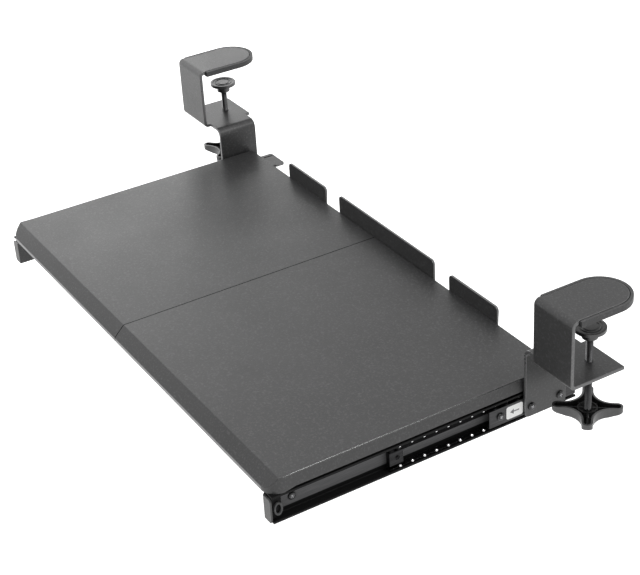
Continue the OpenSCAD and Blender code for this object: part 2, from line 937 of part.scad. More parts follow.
// Cone that shapes the underside of a star knob, with its foot at a level.
module knob_cone(level) {
    rise = 3 * knob_tip_rise;
    translate([0, 0, level]) cylinder(r1 = knob_r - rise, r2 = knob_r + 4 * knob_tip_rise, h = knob_h);
}

// Hollow in the top of a star knob, with a rib left standing in each arm.
module knob_hollow() {
    rib_w = 1.4;
    rib_drop = 2;
    floor_z = knob_bottom_z + knob_floor;
    difference() {
        intersection() {
            translate([0, 0, floor_z]) linear_extrude(knob_h) star_plan(knob_wall);
            knob_cone(floor_z);
        }
        for (turn = [0, 90])
            rotate(turn)
                translate([-knob_r, -rib_w / 2, knob_bottom_z])
                    cube([2 * knob_r, rib_w, knob_h - rib_drop]);
    }
}

// Star knob with hollow arms and a boss for the screw.
module star_knob() {
    knob_turn = 50;
    translate([clamp_mid_x, clamp_screw_y, 0])
        rotate([0, 0, knob_turn])
            color(plastic_black)
                difference() {
                    union() {
                        difference() {
                            intersection() {
                                translate([0, 0, knob_bottom_z]) linear_extrude(knob_h) star_plan(0);
                                knob_cone(knob_bottom_z);
                            }
                            knob_hollow();
                        }
                        translate([0, 0, knob_bottom_z])
                            cylinder(d = knob_boss_d, h = knob_h - knob_boss_sink);
                    }
                    translate([0, 0, screw_bottom_z]) cylinder(d = clamp_screw_d, h = knob_h);
                }
}

module left_star_knob() {
    on_side(-1) star_knob();
}

module right_star_knob() {
    on_side(1) star_knob();
}

tray_left_half();
tray_right_half();
front_joining_bar();
rear_joining_bar();
joining_screws();
left_tray_bracket();
right_tray_bracket();
left_tray_bracket_screws();
right_tray_bracket_screws();
left_outer_rail();
right_outer_rail();
left_rail_screws();
right_rail_screws();
left_front_bumper();
right_front_bumper();
left_ball_cage();
right_ball_cage();
left_balls();
right_balls();
left_carriage();
right_carriage();
left_carriage_screws();
right_carriage_screws();
left_side_label();
right_side_label();
left_clamp_bracket();
right_clamp_bracket();
left_top_pad();
right_top_pad();
left_clamp_nut();
right_clamp_nut();
left_pressure_foot();
right_pressure_foot();
left_clamp_screw();
right_clamp_screw();
left_star_knob();
right_star_knob();
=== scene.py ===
"""Under-desk keyboard tray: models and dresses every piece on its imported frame."""

import logging
import math
from collections.abc import Callable, Iterable, Mapping
from dataclasses import dataclass
from enum import Enum

import bmesh
import bpy
from mathutils import Matrix, Vector, geometry


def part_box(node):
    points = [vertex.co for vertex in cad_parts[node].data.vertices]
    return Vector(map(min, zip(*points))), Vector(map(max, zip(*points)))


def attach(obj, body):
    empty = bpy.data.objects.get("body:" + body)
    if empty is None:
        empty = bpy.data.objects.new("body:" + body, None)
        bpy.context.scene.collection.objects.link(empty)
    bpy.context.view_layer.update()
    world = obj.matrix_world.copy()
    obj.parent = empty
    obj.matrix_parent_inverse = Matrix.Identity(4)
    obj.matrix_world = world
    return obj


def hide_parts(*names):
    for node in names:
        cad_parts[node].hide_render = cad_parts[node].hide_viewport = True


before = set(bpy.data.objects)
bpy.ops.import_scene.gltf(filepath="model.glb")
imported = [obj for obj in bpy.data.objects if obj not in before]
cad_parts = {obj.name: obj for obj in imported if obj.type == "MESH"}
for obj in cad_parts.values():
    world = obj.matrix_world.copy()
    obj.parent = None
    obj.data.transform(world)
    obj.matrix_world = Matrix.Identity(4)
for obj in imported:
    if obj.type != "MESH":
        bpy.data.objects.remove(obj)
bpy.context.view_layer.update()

LOG = logging.getLogger("keyboard_tray")
# A millimetre in metres; in millimetres, what counts as one place and how far a tool cuts past a piece
MM = 0.001
CLOSE = 0.02
OVERCUT = 2.0
WHITE = (1.0, 1.0, 1.0, 1.0)

Point = tuple[float, float, float]
Pair = tuple[float, float]
Test = Callable[[list[Vector]], bool]
Socket = bpy.types.NodeSocket
Feeds = Mapping[str | int, object]


class Side(Enum):
    """The two ends of the tray."""

    LEFT = -1
    RIGHT = 1

    def named(self, piece: str) -> str:
        """Name of a piece on this side."""
        return f"{self.name.lower()}_{piece}"


class Pick(Enum):
    """Kinds of mesh element that a tool can act on."""

    VERTS = "VERT"
    EDGES = "EDGE"
    FACES = "FACE"

    def items(self, mesh: bmesh.types.BMesh) -> Iterable:
        """All elements of this kind in a mesh."""
        return {"VERT": mesh.verts, "EDGE": mesh.edges, "FACE": mesh.faces}[self.value]

    def points(self, item: object) -> list[Vector]:
        """Corner points of one element."""
        return [item.co] if self is Pick.VERTS else [v.co for v in item.verts]


class Join(Enum):
    """Ways to combine two blanks, with the operation and the solver of each."""

    WELD = ("UNION", "EXACT")
    CUT = ("DIFFERENCE", "EXACT")
    SHEET_CUT = ("DIFFERENCE", "MANIFOLD")


class Body(Enum):
    """The moving bodies that pieces ride on."""

    BRACKETS = "desk_brackets"
    TRAY = "tray"
    CAGE = "cage"
    FOOT = "foot"
    SCREW = "screw"

    def on(self, side: Side) -> str:
        """Name of the body, which for a cage, foot or screw depends on the side."""
        return self.value if self in (Body.BRACKETS, Body.TRAY) else side.named(self.value)


def near(a: float, b: float) -> bool:
    """Whether two measures in millimetres agree."""
    return abs(a - b) < CLOSE


def at(**places: float) -> Test:
    """A test for elements whose corners all lie at the given x, y or z."""
    return lambda points: all(near(getattr(v, axis), places[axis]) for v in points for axis in places)


def everything(_: list[Vector]) -> bool:
    """A test that every element passes."""
    return True


def node_box(node: str) -> tuple[Vector, Vector]:
    """Lowest and highest corner of a CAD node in millimetres."""
    low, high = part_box(node)
    return low / MM, high / MM


# Shader effects

# Detail of the noises, shares of their scale and strength, and the ranges that become masks
FEW_OCTAVES = 2.0
SOME_OCTAVES = 3.0
MANY_OCTAVES = 4.0
PIMPLE_SPREAD = 0.7
PIMPLE_SHARE = 0.5
SPECK_SPREAD = 0.3
SPECK_RANGE = (0.52, 0.78)
CLOUD_RANGE = (0.32, 0.68)
SMEAR_SPREAD = 23.0
SMEAR_SHARE = 0.5
SMEAR_RANGE = (0.55, 0.95)
LINE_RANGE = (0.4, 0.7)


class Wiring:
    """A shader node tree in the making."""

    def __init__(self, tree: bpy.types.NodeTree) -> None:
        """Take the tree."""
        self.tree = tree

    def feed(self, node: bpy.types.Node, feeds: Feeds) -> None:
        """Link or set inputs of a node.

        Args:
            node: the node.
            feeds: socket or value by input.
        """
        for key, value in feeds.items():
            if isinstance(value, Socket):
                self.tree.links.new(value, node.inputs[key])
            else:
                node.inputs[key].default_value = value

    def node(self, kind: str, feeds: Feeds, **settings: object) -> bpy.types.Node:
        """Add a node.

        Args:
            kind: its type.
            feeds: socket or value by input.
            **settings: values of its properties.

        Returns:
            The node.
        """
        node = self.tree.nodes.new(f"ShaderNode{kind}")
        for key, value in settings.items():
            setattr(node, key, value)
        self.feed(node, feeds)
        return node

    def sums(self, kind: str, first: object, second: object) -> Socket:
        """Result of an operation on two sockets or numbers."""
        return self.node("Math", {0: first, 1: second}, operation=kind).outputs[0]

    def noise(self, place: Socket, scale: object, detail: float) -> Socket:
        """Noise at a place, with its scale and its octaves."""
        return self.node("TexNoise", {"Vector": place, "Scale": scale, "Detail": detail}).outputs["Fac"]

    def stretch(self, value: Socket, low: float, high: float, ends: tuple = (0.0, 1.0)) -> Socket:
        """A value mapped from low and high to the ends of another range, sockets or numbers."""
        feeds = {"From Min": low, "From Max": high, "To Min": ends[0], "To Max": ends[1]}
        return self.node("MapRange", {"Value": value, **feeds}).outputs["Result"]

    def blend(self, share: Socket, first: object, second: object) -> Socket:
        """Mix of two colours, sockets or values, by a share."""
        feeds = {"Factor": share, "A": first, "B": second}
        return self.node("Mix", feeds, data_type="RGBA").outputs["Result"]

    def effect(self, effect: "Effect", feeds: Feeds) -> Mapping[str, Socket]:
        """Outputs of a shared group that is fed with sockets or values."""
        return self.node("Group", feeds, node_tree=effect.tree()).outputs


@dataclass(frozen=True)
class Effect:
    """A shader node group that finishes share, wired once.

    Attributes:
        name: name of the group.
        inputs: socket type by input.
        outputs: socket type by output.
        wire: makes the outputs from the inputs.
    """

    name: str
    inputs: dict[str, str]
    outputs: dict[str, str]
    wire: Callable[[Wiring, Mapping[str, Socket]], Feeds]

    def tree(self) -> bpy.types.NodeTree:
        """The group, wired when it is first asked for.

        Returns:
            The node group.
        """
        found = bpy.data.node_groups.get(self.name)
        if found:
            return found
        tree = bpy.data.node_groups.new(self.name, "ShaderNodeTree")
        for way, sockets in (("INPUT", self.inputs), ("OUTPUT", self.outputs)):
            for label, kind in sockets.items():
                tree.interface.new_socket(label, in_out=way, socket_type=f"NodeSocket{kind}")
        start, end = tree.nodes.new("NodeGroupInput"), tree.nodes.new("NodeGroupOutput")
        wiring = Wiring(tree)
        wiring.feed(end, self.wire(wiring, start.outputs))
        return tree


def wire_grain(wiring: Wiring, given: Mapping[str, Socket]) -> Feeds:
    """Fine pimpled grain of powder coat, rubber and moulded plastic.

    Args:
        wiring: the group.
        given: its inputs.

    Returns:
        The height and a mask of specks.
    """
    place, scale = given["Vector"], given["Scale"]
    spread = wiring.sums("MULTIPLY", scale, PIMPLE_SPREAD)
    cells = wiring.node("TexVoronoi", {"Vector": place, "Scale": spread}, feature="SMOOTH_F1")
    pimple = wiring.sums("MULTIPLY", cells.outputs["Distance"], PIMPLE_SHARE)
    height = wiring.sums("ADD", wiring.noise(place, scale, FEW_OCTAVES), pimple)
    sharp = wiring.noise(place, wiring.sums("MULTIPLY", scale, SPECK_SPREAD), FEW_OCTAVES)
    return {"Height": height, "Speck": wiring.stretch(sharp, *SPECK_RANGE)}


def wire_drift(wiring: Wiring, given: Mapping[str, Socket]) -> Feeds:
    """Slow change between two tones, with a few lighter specks.

    Args:
        wiring: the group.
        given: its inputs.

    Returns:
        The colour.
    """
    cloud = wiring.noise(given["Vector"], given["Scale"], MANY_OCTAVES)
    tones = wiring.blend(wiring.stretch(cloud, *CLOUD_RANGE), given["Deep"], given["Light"])
    return {"Colour": wiring.blend(given["Speck"], tones, given["Fleck"])}


def wire_handling(wiring: Wiring, given: Mapping[str, Socket]) -> Feeds:
    """Faint smears and rubbed patches that change the gloss.

    Args:
        wiring: the group.
        given: its inputs.

    Returns:
        The roughness.
    """
    place, scale = given["Vector"], given["Scale"]
    fine = wiring.noise(place, wiring.sums("MULTIPLY", scale, SMEAR_SPREAD), FEW_OCTAVES)
    smear = wiring.noise(place, scale, SOME_OCTAVES)
    both = wiring.sums("ADD", smear, wiring.sums("MULTIPLY", fine, SMEAR_SHARE))
    return {"Roughness": wiring.stretch(both, *SMEAR_RANGE, (given["Glossy"], given["Matte"]))}


def wire_lines(wiring: Wiring, given: Mapping[str, Socket]) -> Feeds:
    """Drawn lines along a steel piece.

    Args:
        wiring: the group.
        given: its inputs.

    Returns:
        The height and a mask of the lines.
    """
    drawn = wiring.node("VectorMath", {0: given["Vector"], 1: given["Along"]}, operation="MULTIPLY")
    lines = wiring.noise(drawn.outputs["Vector"], given["Scale"], SOME_OCTAVES)
    return {"Height": lines, "Mask": wiring.stretch(lines, *LINE_RANGE)}


PLACED = {"Vector": "Vector", "Scale": "Float"}
GRAIN = Effect("surface_grain", PLACED, {"Height": "Float", "Speck": "Float"}, wire_grain)
DRIFT = Effect(
    "tone_drift",
    {**PLACED, "Deep": "Color", "Light": "Color", "Speck": "Float", "Fleck": "Color"},
    {"Colour": "Color"},
    wire_drift,
)
HANDLING = Effect(
    "handling_gloss",
    {**PLACED, "Glossy": "Float", "Matte": "Float"},
    {"Roughness": "Float"},
    wire_handling,
)
LINES = Effect(
    "draw_lines", {**PLACED, "Along": "Vector"}, {"Height": "Float", "Mask": "Float"}, wire_lines
)


# Finishes


@dataclass(frozen=True)
class Finish:
    """A grained finish: its tones, its gloss and the size of its grain.

    Attributes:
        name: name of the material.
        slot: material slot of the record that it answers to; not used.
        tones: grey levels of the darker tone, the lighter tone and the specks.
        gloss: roughness where it is rubbed, and elsewhere.
        grain: grains per metre.
        depth: height of the grain in metres.
        metal: metallic share.
        sheen: specular level.
        tint: share of blue in the greys.
        tone_scale: patches of tone per metre.
        gloss_scale: rubbed patches per metre.
    """

    name: str
    slot: str
    tones: Point
    gloss: Pair
    grain: float
    depth: float
    metal: float = 0.0
    sheen: float = 0.5
    tint: float = 1.02
    tone_scale: float = 14.0
    gloss_scale: float = 19.0

    def material(self) -> bpy.types.Material:
        """The material of this finish, mixed once."""
        return bpy.data.materials.get(self.name) or self.mix()

    def relief(self, wiring: Wiring, place: Socket) -> tuple[Socket, Socket]:
        """Height and speck mask of the grain at a place."""
        grain = wiring.effect(GRAIN, {"Vector": place, "Scale": self.grain})
        return grain["Height"], grain["Speck"]

    def shade(self, wiring: Wiring, place: Socket, colour: Socket) -> Socket:
        """The colour as it goes on the surface, here unchanged."""
        return colour

    def mix(self) -> bpy.types.Material:
        """Build the node tree of the material.

        Returns:
            The new material.
        """
        material = bpy.data.materials.new(self.name)
        material.use_nodes = True
        tree = material.node_tree
        wiring = Wiring(tree)
        place = wiring.node("TexCoord", {}).outputs["Object"]
        height, mask = self.relief(wiring, place)
        deep, light, fleck = ((tone, tone, tone * self.tint, 1.0) for tone in self.tones)
        feeds = {"Vector": place, "Scale": self.tone_scale, "Speck": mask, "Fleck": fleck}
        tones = wiring.effect(DRIFT, {**feeds, "Deep": deep, "Light": light})
        feeds = {"Vector": place, "Scale": self.gloss_scale}
        rubbed = wiring.effect(HANDLING, {**feeds, "Glossy": self.gloss[0], "Matte": self.gloss[1]})
        bump = wiring.node("Bump", {"Strength": 1.0, "Distance": self.depth, "Height": height})
        wiring.feed(
            tree.nodes["Principled BSDF"],
            {
                "Metallic": self.metal,
                "Specular IOR Level": self.sheen,
                "Base Color": self.shade(wiring, place, tones["Colour"]),
                "Roughness": rubbed["Roughness"],
                "Normal": bump.outputs["Normal"],
            },
        )
        return material


@dataclass(frozen=True)
class DrawnSteel(Finish):
    """Steel with lines drawn along one direction.

    Attributes:
        along: stretch of the lines in X, Y and Z; small is long.
    """

    along: Point = (1.0, 0.04, 1.0)

    def relief(self, wiring: Wiring, place: Socket) -> tuple[Socket, Socket]:
        """Height and mask of the drawn lines at a place."""
        lines = wiring.effect(LINES, {"Vector": place, "Along": self.along, "Scale": self.grain})
        return lines["Height"], lines["Mask"]


@dataclass(frozen=True)
class RaceSteel(DrawnSteel):
    """Rail steel with a web between two ball races, which are painted darker as the shade of the
    channel under the tray.

    Attributes:
        middle: Z of the web's middle in metres.
        web: half height of the web that keeps the steel's tone, in metres.
        fade: height in which the painted shade begins, in metres.
        race_shade: grey level of the races, painted shade of the channel.
    """

    middle: float = -0.1097
    web: float = 0.0071
    fade: float = 0.0005
    race_shade: float = 0.006

    def shade(self, wiring: Wiring, place: Socket, colour: Socket) -> Socket:
        """Darken the races with painted shade.

        Args:
            wiring: the material.
            place: the place on the surface.
            colour: colour of the steel.

        Returns:
            The mixed colour.
        """
        # Painted shade: above and below the web the races take a near-black grey instead of the steel's
        # tone.
        level = wiring.node("SeparateXYZ", {"Vector": place}).outputs["Z"]
        away = wiring.sums("ABSOLUTE", wiring.sums("SUBTRACT", level, self.middle), 0.0)
        share = wiring.stretch(away, self.web, self.web + self.fade)
        return wiring.blend(share, colour, (self.race_shade, self.race_shade, self.race_shade * self.tint, 1.0))


COAT = Finish(
    "matte_powder_coat", "powder_coat",
    (0.0135, 0.0165, 0.045), (0.40, 0.46), 1900.0, 0.00005, sheen=0.55,
)
CREASE = Finish(
    "burnished_coat_crease", "powder_coat",
    (0.0135, 0.0165, 0.045), (0.20, 0.27), 1900.0, 0.00002, sheen=0.9,
)
# Painted shade: the fillets at the seam are near black and stand for the shadow in the gap between the
# halves.
SHADE = Finish(
    "dark_coat_seam", "powder_coat",
    (0.0026, 0.0038, 0.009), (0.55, 0.68), 1900.0, 0.00004, sheen=0.1, tint=1.05,
)
# Painted highlight: a lighter coat colour on cut edges, rounded edges and the front lip, standing for
# the light they catch.
EDGE = Finish(
    "thin_coat_edge", "powder_coat",
    (0.052, 0.066, 0.110), (0.26, 0.34), 1900.0, 0.00002, sheen=0.7,
)
# The races of this rail steel carry painted shade.
RAIL = RaceSteel(
    "black_rail_steel", "black_steel",
    (0.088, 0.104, 0.130), (0.38, 0.50), 1500.0, 0.000006, sheen=0.08,
)
CARRIAGE = DrawnSteel(
    "black_carriage_steel", "black_steel",
    (0.032, 0.040, 0.055), (0.30, 0.42), 1500.0, 0.00001, metal=1.0,
)
# Painted shade: near black with almost no reflection, for the cage's inner wall in the shade of the
# skirt above.
CAGE_WALL_SHADE = Finish(
    "black_slide_grease", "black_steel",
    (0.0028, 0.0042, 0.008), (0.45, 0.60), 1500.0, 0.00001, sheen=0.03, tint=1.05,
)
CAGE = DrawnSteel(
    "greased_cage_steel", "black_steel",
    (0.010, 0.015, 0.030), (0.24, 0.36), 1500.0, 0.00001, metal=1.0, tint=1.04,
)
SCREW = Finish(
    "black_screw_steel", "black_steel",
    (0.030, 0.045, 0.100), (0.22, 0.34), 2600.0, 0.00001, metal=1.0,
)
# Painted highlight: the cross recess is a light grey that stands for the glints in it.
RECESS = Finish(
    "bare_recess_steel", "black_steel",
    (0.48, 0.62, 0.74), (0.20, 0.34), 2600.0, 0.00001,
)
THREAD = DrawnSteel(
    "dark_thread_steel", "black_steel",
    (0.060, 0.090, 0.140), (0.36, 0.48), 1200.0, 0.00001, metal=1.0, along=(1.0, 1.0, 0.1),
)
BRIGHT = Finish(
    "bright_ball_steel", "bright_steel",
    (0.62, 0.74, 0.82), (0.10, 0.20), 2600.0, 0.000004, metal=1.0, tint=1.01,
)
RUBBER = Finish(
    "grey_pad_rubber", "pad_rubber",
    (0.030, 0.040, 0.060), (0.52, 0.68), 1500.0, 0.00006, sheen=0.4,
)
BUMPER = Finish(
    "black_bumper_rubber", "pad_rubber",
    (0.004, 0.006, 0.012), (0.60, 0.72), 1500.0, 0.00004, sheen=0.1, tint=1.05,
)
PLASTIC = Finish(
    "black_moulded_plastic", "black_plastic",
    (0.009, 0.013, 0.026), (0.30, 0.44), 1300.0, 0.00004, sheen=0.8, tint=1.04,
)
# Painted shade: a darker, duller plastic for the hollows of the knob, where shade falls.
HOLLOW = Finish(
    "dull_moulded_plastic", "black_plastic",
    (0.0030, 0.0045, 0.009), (0.55, 0.70), 1300.0, 0.00004, sheen=0.25, tint=1.05,
)
FILM = Finish(
    "white_label_film", "label",
    (0.76, 0.81, 0.85), (0.30, 0.42), 2200.0, 0.000006, tint=0.99,
)
INK = Finish(
    "grey_label_ink", "label",
    (0.10, 0.14, 0.20), (0.40, 0.55), 2600.0, 0.000006, tint=1.03,
)


# Bench tools


@dataclass(frozen=True)
class Rounding:
    """How the sharp edges of a piece are rounded.

    Attributes:
        width: how far the rounding reaches.
        steps: number of its faces.
        angle: edges flatter than this, in degrees, stay.
    """

    width: float
    steps: int = 2
    angle: float = 40.0


class Blank:
    """A piece on the bench, shaped in millimetres with Blender's own tools.

    Attributes:
        MERGE: gap within which points of a CAD node are merged.
        FLAT: angle in degrees under which its faces are joined.
        DOUBLE: gap within which points count as doubled.
    """

    MERGE = 0.003
    FLAT = 0.4
    DOUBLE = 0.001

    def __init__(self, obj: bpy.types.Object, name: str) -> None:
        """Take an object and name it.

        Args:
            obj: the object.
            name: name of the piece.
        """
        self.obj = obj
        self.obj.name = name
        self.obj.data.name = name

    @staticmethod
    def clear() -> None:
        """Leave edit mode and deselect everything."""
        active = bpy.context.view_layer.objects.active
        if active and active.mode != "OBJECT":
            bpy.ops.object.mode_set(mode="OBJECT")
        bpy.ops.object.select_all(action="DESELECT")

    @classmethod
    def plane(cls, name: str, low: Pair, high: Pair, level: float) -> "Blank":
        """A level sheet.

        Args:
            name: name of the piece.
            low: lowest X and Y.
            high: highest X and Y.
            level: its Z.

        Returns:
            The new blank.
        """
        cls.clear()
        middle = ((low[0] + high[0]) / 2, (low[1] + high[1]) / 2, level)
        bpy.ops.mesh.primitive_plane_add(size=1, location=middle)
        blank = cls(bpy.context.object, name)
        blank.obj.scale = (high[0] - low[0], high[1] - low[1], 1)
        return blank.settle()

    @classmethod
    def block(cls, name: str, low: Point, high: Point) -> "Blank":
        """A block between two corners.

        Args:
            name: name of the piece.
            low: lowest corner.
            high: highest corner.

        Returns:
            The new blank.
        """
        cls.clear()
        middle = [(a + b) / 2 for a, b in zip(low, high)]
        bpy.ops.mesh.primitive_cube_add(size=1, location=middle)
        blank = cls(bpy.context.object, name)
        blank.obj.scale = [b - a for a, b in zip(low, high)]
        return blank.settle()

    @classmethod
    def rod(
        cls, name: str, radius: float, low: float, high: float, centre: Pair = (0, 0), sides: int = 48
    ) -> "Blank":
        """An upright rod.

        Args:
            name: name of the piece.
            radius: its radius.
            low: Z of its foot.
            high: Z of its top.
            centre: X and Y of its axis.
            sides: number of its sides.

        Returns:
            The new blank.
        """
        cls.clear()
        place = (*centre, (low + high) / 2)
        bpy.ops.mesh.primitive_cylinder_add(
            vertices=sides, radius=radius, depth=high - low, location=place
        )
        return cls(bpy.context.object, name).settle()

    @classmethod
    def from_node(cls, name: str, node: str) -> "Blank":
        """A merged copy of a CAD node.

        Args:
            name: name of the piece.
            node: the CAD node.

        Returns:
            The new blank, with flat faces joined.
        """
        cls.clear()
        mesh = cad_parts[node].data.copy()
        mesh.materials.clear()
        obj = bpy.data.objects.new(name, mesh)
        bpy.context.scene.collection.objects.link(obj)
        blank = cls(obj, name)
        blank.obj.scale = (1 / MM,) * 3
        blank.settle().merge(cls.MERGE)
        bpy.ops.mesh.dissolve_limited(angle_limit=math.radians(cls.FLAT), delimit={"MATERIAL"})
        return blank

    def only(self) -> None:
        """Make this the one selected and active object, in object mode."""
        self.clear()
        self.obj.select_set(True)
        bpy.context.view_layer.objects.active = self.obj

    def enter(self) -> None:
        """Go into edit mode on this piece."""
        if self.obj.mode != "EDIT":
            self.only()
            bpy.ops.object.mode_set(mode="EDIT")

    def settle(self) -> "Blank":
        """Put place, turn and scale into the mesh.

        Returns:
            The blank.
        """
        self.only()
        bpy.ops.object.transform_apply(location=True, rotation=True, scale=True)
        return self

    def pick(self, kind: Pick, test: Test) -> "Blank":
        """Select the elements whose corner points pass a test.

        Args:
            kind: verts, edges or faces.
            test: says whether the points belong.

        Returns:
            The blank.
        """
        self.enter()
        bpy.ops.mesh.select_mode(type=kind.value)
        bpy.ops.mesh.select_all(action="DESELECT")
        mesh = bmesh.from_edit_mesh(self.obj.data)
        for item in kind.items(mesh):
            item.select_set(test(kind.points(item)))
        mesh.select_flush_mode()
        bmesh.update_edit_mesh(self.obj.data)
        return self

    def extrude(self, move: Point, edges: bool = True) -> "Blank":
        """Extrude what is picked.

        Args:
            move: how far and which way.
            edges: whether edges are picked, and not faces.

        Returns:
            The blank.
        """
        tool = bpy.ops.mesh.extrude_edges_move if edges else bpy.ops.mesh.extrude_region_move
        tool(TRANSFORM_OT_translate={"value": move})
        return self

    def move(self, by: Point) -> "Blank":
        """Move what is picked, and return the blank."""
        bpy.ops.transform.translate(value=by)
        return self

    def number(self, paint: Finish | None) -> int:
        """Slot number of a finish on this piece, or -1 for none."""
        return self.obj.data.materials.find(paint.name) if paint else -1

    def bevel(
        self, width: float, steps: int, corners: bool = False, paint: Finish | None = None
    ) -> "Blank":
        """Round the picked edges, or the picked corners of a sheet.

        Args:
            width: how far the rounding reaches.
            steps: number of its faces.
            corners: whether corners are rounded, and not edges.
            paint: finish of the rounding, or None for that of its neighbours.

        Returns:
            The blank.
        """
        bpy.ops.mesh.bevel(
            offset=width,
            segments=steps,
            profile=0.5,
            material=self.number(paint),
            affect="VERTICES" if corners else "EDGES",
            clamp_overlap=False,
        )
        return self

    def scale(self, factors: Point) -> "Blank":
        """Scale what is picked about its middle, and return the blank."""
        bpy.ops.transform.resize(value=factors)
        return self

    def level(self, height: float) -> "Blank":
        """Bring what is picked to one height, and return the blank."""
        bpy.ops.transform.resize(value=(1, 1, 0), center_override=(0, 0, height))
        return self

    def inset(self, width: float, sink: float = 0.0) -> "Blank":
        """Inset the picked faces and sink them, and return the blank."""
        bpy.ops.mesh.inset(thickness=width, depth=-sink, use_even_offset=True)
        return self

    def cut(self, place: Point, normal: Point, drop: bool = False, whole: bool = True) -> "Blank":
        """Cut through the piece along a plane.

        Args:
            place: a point on the cutting plane.
            normal: normal of the plane.
            drop: whether the half on the normal's side goes and the cut is closed.
            whole: whether the cut goes through everything, and not only what is picked.

        Returns:
            The blank.
        """
        self.enter()
        if whole:
            bpy.ops.mesh.select_all(action="SELECT")
        bpy.ops.mesh.bisect(
            plane_co=place, plane_no=normal, use_fill=drop, clear_outer=drop, threshold=self.DOUBLE
        )
        return self

    def apply(self, kind: str, **settings: object) -> "Blank":
        """Add a modifier with its settings and apply it.

        Args:
            kind: type of the modifier.
            **settings: values of its properties.

        Returns:
            The blank.
        """
        self.only()
        modifier = self.obj.modifiers.new(kind.title(), kind)
        for key, value in settings.items():
            setattr(modifier, key, value)
        bpy.ops.object.modifier_apply(modifier=modifier.name)
        return self

    def thicken(self, wall: float, paint: Finish | None = None) -> "Blank":
        """Give a sheet its thickness behind its faces.

        Args:
            wall: the thickness.
            paint: finish of its cut edges, or None for that of the sheet.

        Returns:
            The blank.
        """
        return self.apply(
            "SOLIDIFY",
            thickness=wall,
            offset=-1,
            use_even_offset=True,
            use_rim=True,
            material_offset_rim=max(self.number(paint), 0),
        )

    def soften(self, edges: Rounding, paint: Finish | None = None) -> "Blank":
        """Round every sharp edge.

        Args:
            edges: the rounding.
            paint: finish of the rounding, or None for that of its neighbours.

        Returns:
            The blank.
        """
        return self.apply(
            "BEVEL",
            width=edges.width,
            segments=edges.steps,
            material=self.number(paint),
            limit_method="ANGLE",
            angle_limit=math.radians(edges.angle),
            use_clamp_overlap=True,
            harden_normals=False,
        )

    def combine(self, tool: "Blank", way: Join) -> "Blank":
        """Combine this blank with another one, which goes.

        Args:
            tool: the other blank.
            way: how the two are combined.

        Returns:
            The blank.
        """
        operation, solver = way.value
        tool.clear()
        self.apply("BOOLEAN", operation=operation, object=tool.obj, solver=solver)
        bpy.data.objects.remove(tool.obj)
        return self

    def coat(self, *paints: Finish) -> "Blank":
        """Give the piece its finishes.

        Args:
            *paints: the finishes, the main one first.

        Returns:
            The blank.
        """
        for paint in paints:
            self.obj.data.materials.append(paint.material())
        return self

    def assign(self, paint: Finish, test: Test) -> "Blank":
        """Give faces a finish.

        Args:
            paint: the finish, one of those on the piece.
            test: says whether the corners of a face belong.

        Returns:
            The blank.
        """
        self.pick(Pick.FACES, test)
        self.obj.active_material_index = self.number(paint)
        bpy.ops.object.material_slot_assign()
        return self

    def merge(self, gap: float) -> "Blank":
        """Merge points that lie close together.

        Args:
            gap: how close.

        Returns:
            The blank.
        """
        self.enter()
        bpy.ops.mesh.select_all(action="SELECT")
        bpy.ops.mesh.remove_doubles(threshold=gap)
        return self

    def tidy(self) -> "Blank":
        """Merge doubled points and turn all faces outwards.

        Returns:
            The blank.
        """
        self.merge(self.DOUBLE)
        bpy.ops.mesh.normals_make_consistent(inside=False)
        return self

    def copy(self, name: str) -> "Blank":
        """A copy with its own mesh.

        Args:
            name: name of the copy.

        Returns:
            The copy.
        """
        self.only()
        obj = bpy.data.objects.new(name, self.obj.data.copy())
        bpy.context.scene.collection.objects.link(obj)
        return Blank(obj, name)

    def mirrored(self, name: str) -> "Blank":
        """A copy for the left side, mirrored in X.

        Args:
            name: name of the copy.

        Returns:
            The copy.
        """
        twin = self.copy(name)
        twin.obj.scale = (-1, 1, 1)
        return twin.settle().tidy()

    def lay(self, turn: Matrix, place: Vector) -> "Blank":
        """Turn the piece about the origin and bring it to its place.

        Args:
            turn: its turn.
            place: where its origin goes.

        Returns:
            The blank.
        """
        self.only()
        self.obj.matrix_world = Matrix.Translation(place) @ turn.to_4x4()
        return self.settle()

    def joined(self, others: list["Blank"]) -> "Blank":
        """Take other blanks into this piece.

        Args:
            others: the other blanks.

        Returns:
            The blank.
        """
        self.only()
        for other in others:
            other.obj.select_set(True)
        bpy.ops.object.join()
        return self

    def finish(self, body: str, paint: Finish, *nodes: str, smooth: float = 32.0) -> bpy.types.Object:
        """Bring the piece to metres, shade it, paint it and hang it on its body.

        Args:
            body: body that it rides on.
            paint: its finish.
            *nodes: CAD nodes that it stands for.
            smooth: edges flatter than this, in degrees, are shaded smooth.

        Returns:
            The finished object.
        """
        self.clear()
        self.obj.scale = (MM,) * 3
        self.settle()
        bpy.ops.object.shade_smooth_by_angle(angle=math.radians(smooth))
        self.apply("WEIGHTED_NORMAL", keep_sharp=True)
        if not self.obj.data.materials:
            self.coat(paint)
        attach(self.obj, body)
        if nodes:
            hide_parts(*nodes)
        LOG.info("%s: %d faces, rides on %s", self.obj.name, len(self.obj.data.polygons), body)
        return self.obj


# Sub-assemblies


